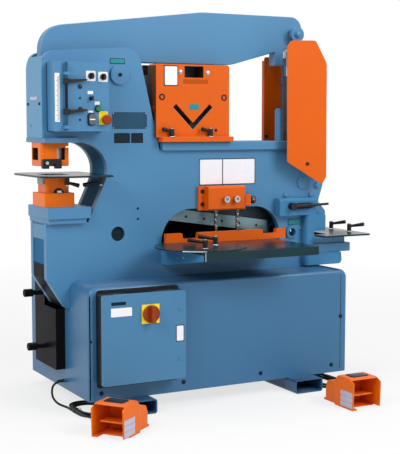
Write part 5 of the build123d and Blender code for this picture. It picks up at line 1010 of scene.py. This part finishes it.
grown("hold_down_threads", "bright_steel", seeds((UP, [(x, ROD_Y, 697) for x in ROD_XS])), thread_tree,
      "hold_down", Radius=7.7 * MM, Long=88 * MM, Turns=11.0, Crest=1.9 * MM)


def hexagon(a, b, radius):
    """A hexagon drawn with as many points as a circle has here."""
    corners = [(a + radius * cos(pi * k / 3), b + radius * sin(pi * k / 3)) for k in range(6)]
    share = [step / (ROUND // 6) for step in range(ROUND // 6)]
    return [(p[0] + (q[0] - p[0]) * s, p[1] + (q[1] - p[1]) * s)
            for p, q in zip(corners, corners[1:] + corners[:1]) for s in share]


nuts = [band(hexagon(x, ROD_Y, 11.4), circle(x, ROD_Y, 8.8), BRACKET_LOW, BRACKET_LOW - NUT_T, facing_up)
        for x in ROD_XS]
FLUTES, FLUTE_STEPS, KNOB_Y, KNOB_Z = 14, 84, 198.0, 829.0
KNOB = ((911.5, 15.6), (913, 17), (930, 17), (932, 15.4), (932, 9), (929, 8), (929, 4))
knob_turns = [2 * pi * k / FLUTE_STEPS for k in range(FLUTE_STEPS)]
fluted = [(cos(turn) * (1 + 0.035 * cos(FLUTES * turn)), sin(turn) * (1 + 0.035 * cos(FLUTES * turn)))
          for turn in knob_turns]
knob = solid([[(x, KNOB_Y + radius * a, KNOB_Z + radius * b) for a, b in fluted] for x, radius in KNOB])
piece("hold_down_nuts", "rod_steel", *nuts, knob, sharp=50)
print("hold-down finished")

# %% [markdown]
# The toggle lever's handle has a moulded grip with ribs, one rib drawn and repeated along the handle. The
# door's two latches are lathe shapes with a raised bar to turn them by. A grease fitting stands on the pivot
# cap, and two dark rings round the holes in the angle shear's face paint the shade of their counterbores.
# %% Ribbed grip, latches and grease fitting
RIB = ((1152, 12.4), (1153.2, 14.4), (1156, 14.4), (1157.2, 12.4))
LATCH = ((0, 12), (2, 12), (3.2, 10.6), (3.2, 8), (2.4, 7.4), (2.4, 0))
NIPPLE = ((5.5, 5), (10, 5), (11.5, 3), (13.5, 4), (15.5, 3.4), (16.5, 0))
CAP_FACE = 213
HOLE_RING = ((0, 15), (1.6, 15), (2.2, 14.2), (2.2, 8.8), (0, 8.8))
in_a_row("toggle_ribs", "black_plastic", 9, (8.6, 0, 0.16),
         solid([facing_end(circle(163.7, 792.5, radius), x) for x, radius in RIB]), body="toggle_lever")
latches = []
for x, z in ((395, 389), (394, 171)):
    latches += [turned(x, z, DOOR_FACE, LATCH),
                plate(x - 2.6, x + 2.6, z - 7.2, z + 7.2, DOOR_FACE - 2.2, 4.0, 1.6, 0.8)]
piece("door_latches", "blue_enamel", *latches, body="door")
piece("grease_fitting_and_rings", "blackened_steel",
      between(facing_front, hexagon(246, 1405, 8.5), CAP_FACE, CAP_FACE - 6),
      turned(246, 1405, CAP_FACE, NIPPLE),
      # Painted shade: dark rings stand for the shade in the counterbores.
      *[turned(x, 1309, ANGLE_FACE, HOLE_RING, hole=True) for x in (448, 769)])
print("small fittings done")

# %% [markdown]
# Dark plugs close the tapped holes along the cabinet's front and the access hole through the frame. Behind
# the arch a black sheet hood keeps offcuts from flying: a bent sheet for its top and back, and two cheeks.
# It is open towards the machine and below, so that a cut bar still comes out.
# %% Plugs and offcut hood
PLUG = ((0, 10), (1.2, 10), (2.6, 7.5), (3.0, 4), (3.0, 0))
PLUGS = ((54, 35), (451, 41), (851, 38), (1247, 37), (1297, 269))
SMALL_PLUG = ((0, 5), (0.8, 5), (1.4, 3), (1.4, 0))
ACCESS = ((0, 33), (14, 33), (16, 31.5), (16, 27), (12, 25), (12, 8), (13.5, 6), (13.5, 0))
piece("hole_plugs", "pitch_plate", *[turned(x, z, 0, PLUG) for x, z in PLUGS],
      turned(7, 263, 0, SMALL_PLUG), turned(236, 695, 250, ACCESS), slot="black_plastic")
HOOD_LEFT, HOOD_RIGHT, HOOD_BACK, HOOD_LOW, HOOD_TOP, SHEET = 438, 1250, 500.0, 560.0, 822, 3.0
HOOD_BEND = PLATE_REAR + 40
bent = [(PLATE_REAR, HOOD_TOP), (HOOD_BEND, HOOD_TOP), (HOOD_BACK, 796), (HOOD_BACK, HOOD_LOW),
        (HOOD_BACK - SHEET, HOOD_LOW), (HOOD_BACK - SHEET, 794), (HOOD_BEND - 1, HOOD_TOP - SHEET),
        (PLATE_REAR, HOOD_TOP - SHEET)]
cheek = [(PLATE_REAR, HOOD_TOP - 1), (HOOD_BEND, HOOD_TOP - 1), (HOOD_BACK - 1, 795),
         (HOOD_BACK - 1, HOOD_LOW), (PLATE_REAR, HOOD_LOW)]
flange = [(PLATE_REAR, 842), (PLATE_REAR + SHEET, 842), (PLATE_REAR + SHEET, 820), (PLATE_REAR, 820)]
SHEETS = ((bent, HOOD_LEFT, HOOD_RIGHT), (flange, HOOD_LEFT, HOOD_RIGHT),
          (cheek, HOOD_LEFT, HOOD_LEFT + SHEET), (cheek, HOOD_RIGHT - SHEET, HOOD_RIGHT))
piece("offcut_hood", "black_enamel", *[between(facing_end, *sheet) for sheet in SHEETS])
hood_spots = [(x, PLATE_REAR + SHEET, 832) for x in range(470, 1240, 150)]
screws("hood_screws", "screw_steel", 6, 4, (BACK, hood_spots))
print("hood and plugs done")

# %% [markdown]
# Three more dark sheets: a chute that closes the gap between the plates over the slug bin, a rubber seal
# round the enclosure on the cabinet's front, which also paints the shadow under the enclosure, and the seam
# of the front panel near the right end.
# %% Slug chute, enclosure seal with painted shadow, and panel seam
CHUTE = [(-104, 570), (-104, 511), (-18, 377), (-14, 379), (-100.5, 513), (-100.5, 570)]
piece("slug_chute", "black_enamel", between(facing_front, CHUTE, 257, 393))
# Painted shadow: the dark seal round the enclosure stands for the shadow below it.
piece("enclosure_seal_shadow", "cable_rubber",
      band(oblong(229, 270, 196, 212, 14), oblong(225.5, 275, 190, 188, 6), 0.5, -1.5),
      plate(1295.6, 1298.4, 16, 470, 0.2, 0.6, 1, 0.1))
print("dark sheets done")

# %% [markdown]
# The angle shear's V slot is lined with ground steel along its lower sides, two thin bars that meet in the
# corner, and with dark bars along its upper sides. Each bar is drawn for the right side and mirrored.
# %% Steel lining of the V slot
SLOT_X, SLOT_DEEP = 606, 290
LININGS = (
    ("slot_lining", "blade_steel", 205.4, ((0, 1160.2), (101, 1261.2), (100.1, 1262.1), (0, 1162))),
    ("slot_upper_lining", "blackened_steel", 206,
     ((12, 1204.2), (85, 1277.2), (85.9, 1276.3), (12.9, 1203.3))),
)
for name, worn, front, outline in LININGS:
    bars = [[(SLOT_X + way * a, z) for a, z in outline] for way in (-1, 1)]
    piece(name, worn, *[between(facing_front, bar, front, SLOT_DEEP) for bar in bars])
print("slot lined")

# %% [markdown]
# The foot switches carry a black pad on the hood and, on each side, a pale plate with three fields. Both are
# drawn for a switch at the corner and then moved and turned to where each switch stands.
# %% Pads and plates of the foot switches
FOOT_SWITCHES = (("left", 29, -264, -53.13), ("right", 1128, -333, 0))
PAD = ((0, 0), (2.4, 0), (3.4, 1.2))


def moved(skin, matrix):
    """A skin moved and turned by a matrix."""
    rings, loop = skin
    return [[matrix @ Vector(point) for point in ring] for ring in rings], loop


def about_z(degrees):
    return Matrix.Rotation(radians(degrees), 4, "Z")


pad = solid([facing_up(oblong(0, -39, 46 - less, 30 - less, 12), 137.6 + up) for up, less in PAD])
fields = [moved(plate(near, far, low, low + 22, -75, 0.6, 2.5, 0.2), about_z(side_turn))
          for side_turn, near, far in ((90, -108, -20), (-90, 20, 108)) for low in (9, 33, 57)]
for side, x, y, turn in FOOT_SWITCHES:
    stand = Matrix.Translation((x, y, -64)) @ about_z(turn)
    piece(side + "_hood_pad", "black_plastic", moved(pad, stand))
    piece(side + "_hood_plates", "label_plate", *[moved(field, stand) for field in fields])
print("foot switches finished")

# %% [markdown]
# The back of the cabinet has a service panel with pressed louvres, so that the power unit gets air. A louvre
# is a loft of four sections that swell and shrink. Two are drawn side by side and the row tree stacks them.
# %% Louvred panel at the back
CAB_BACK = 742.0
LOUVRE_FOOT = CAB_BACK + 1.5
LOUVRE = ((0, 140), (12, 143), (12.6, 147), (6, 158), (0, 164))
SWELLS = ((0, 0.1), (14, 1), (232, 1), (246, 0.1))
piece("service_panel", "blue_enamel", plate(330, 1006, 100, 420, CAB_BACK, -2.0, 12, -0.6))
pair = [solid([[(left + along, LOUVRE_FOOT + out * swell, z) for out, z in LOUVRE]
               for along, swell in SWELLS]) for left in (400, 690)]
in_a_row("louvres", "blue_enamel", 7, (0, 0, 36), *pair)
panel_spots = [(x, CAB_BACK + 2, z) for x in (345, 560, 776, 991) for z in (112, 408)]
screws("panel_bolts", "screw_steel", 6, 4, (BACK, panel_spots))
print("back panel done")

# %% [markdown]
# The studio: a pale floor, a large soft lamp at the right front, a weaker one at the left and a third above.
# The background is white because the floor and the world look white to the camera and to mirrors, through
# Light Path, while the lamps stay at a plain level. Near the machine the floor is partly a plain diffuse
# surface, so that the machine's shadow still falls on it; further away it turns fully white.
# %% Floor and world


def seen_directly(tree):
    """One for rays from the camera, from mirrors and through glass."""
    path = put(tree, "ShaderNodeLightPath").outputs
    seen = maths(tree, "MAXIMUM", path["Is Camera Ray"], path["Is Glossy Ray"])
    return maths(tree, "MAXIMUM", seen, path["Is Transmission Ray"])


def emptied(data):
    """The node tree of a material or world, without its first nodes."""
    data.use_nodes = True
    data.node_tree.nodes.clear()
    return data.node_tree


shape = bmesh.new()
bmesh.ops.create_grid(shape, x_segments=1, y_segments=1, size=45)
mesh = bpy.data.meshes.new("floor")
shape.to_mesh(mesh)
shape.free()
floor = linked("floor", mesh)
pale = bpy.data.materials.new("pale_floor")
tree = emptied(pale)
matt = first(tree, "ShaderNodeBsdfDiffuse", {"Color": (0.82, 0.82, 0.82, 1)})
white = first(tree, "ShaderNodeEmission", {"Color": WHITE, "Strength": 1.0})
reach = put(tree, "ShaderNodeVectorMath", {0: own_place(tree)}, operation="LENGTH").outputs["Value"]
share = times(tree, seen_directly(tree), spread(tree, reach, 1.2, 5.0, 0.72, 1.0))
both = first(tree, "ShaderNodeMixShader", {0: share, 1: matt, 2: white})
put(tree, "ShaderNodeOutputMaterial", {"Surface": both})
mesh.materials.append(pale)

world = bpy.data.worlds.new("studio")
tree = emptied(world)
level = spread(tree, seen_directly(tree), 0, 1, 0.42, 1.0)
sky = first(tree, "ShaderNodeBackground", {"Color": WHITE, "Strength": level})
put(tree, "ShaderNodeOutputWorld", {"Surface": sky})
bpy.context.scene.world = world
bpy.context.scene.view_settings.view_transform = "Standard"
print("floor and world ready")

# %% [markdown]
# Large area lamps give the soft shadows of a studio. Each has a place, a point that it looks at, the length
# of its side and its power.
# %% Lamps
LAMPS = (("key", (2.6, -5.0, 4.4), (0, 0, 0.8), 3.0, 240),
         ("fill", (-3.9, -1.9, 3.4), (-0.7, 0, 1.35), 1.8, 95),
         ("top", (0.2, 0.6, 5.2), (0, 0, 0.5), 3.0, 80))
for name, place, aim, size, power in LAMPS:
    light = tuned(bpy.data.lights.new(name, "AREA"), size=size, energy=power)
    turn = (Vector(aim) - Vector(place)).to_track_quat("-Z", "Y").to_euler()
    tuned(linked(name, light), location=place, rotation_euler=turn)
print(len(LAMPS), "lamps")
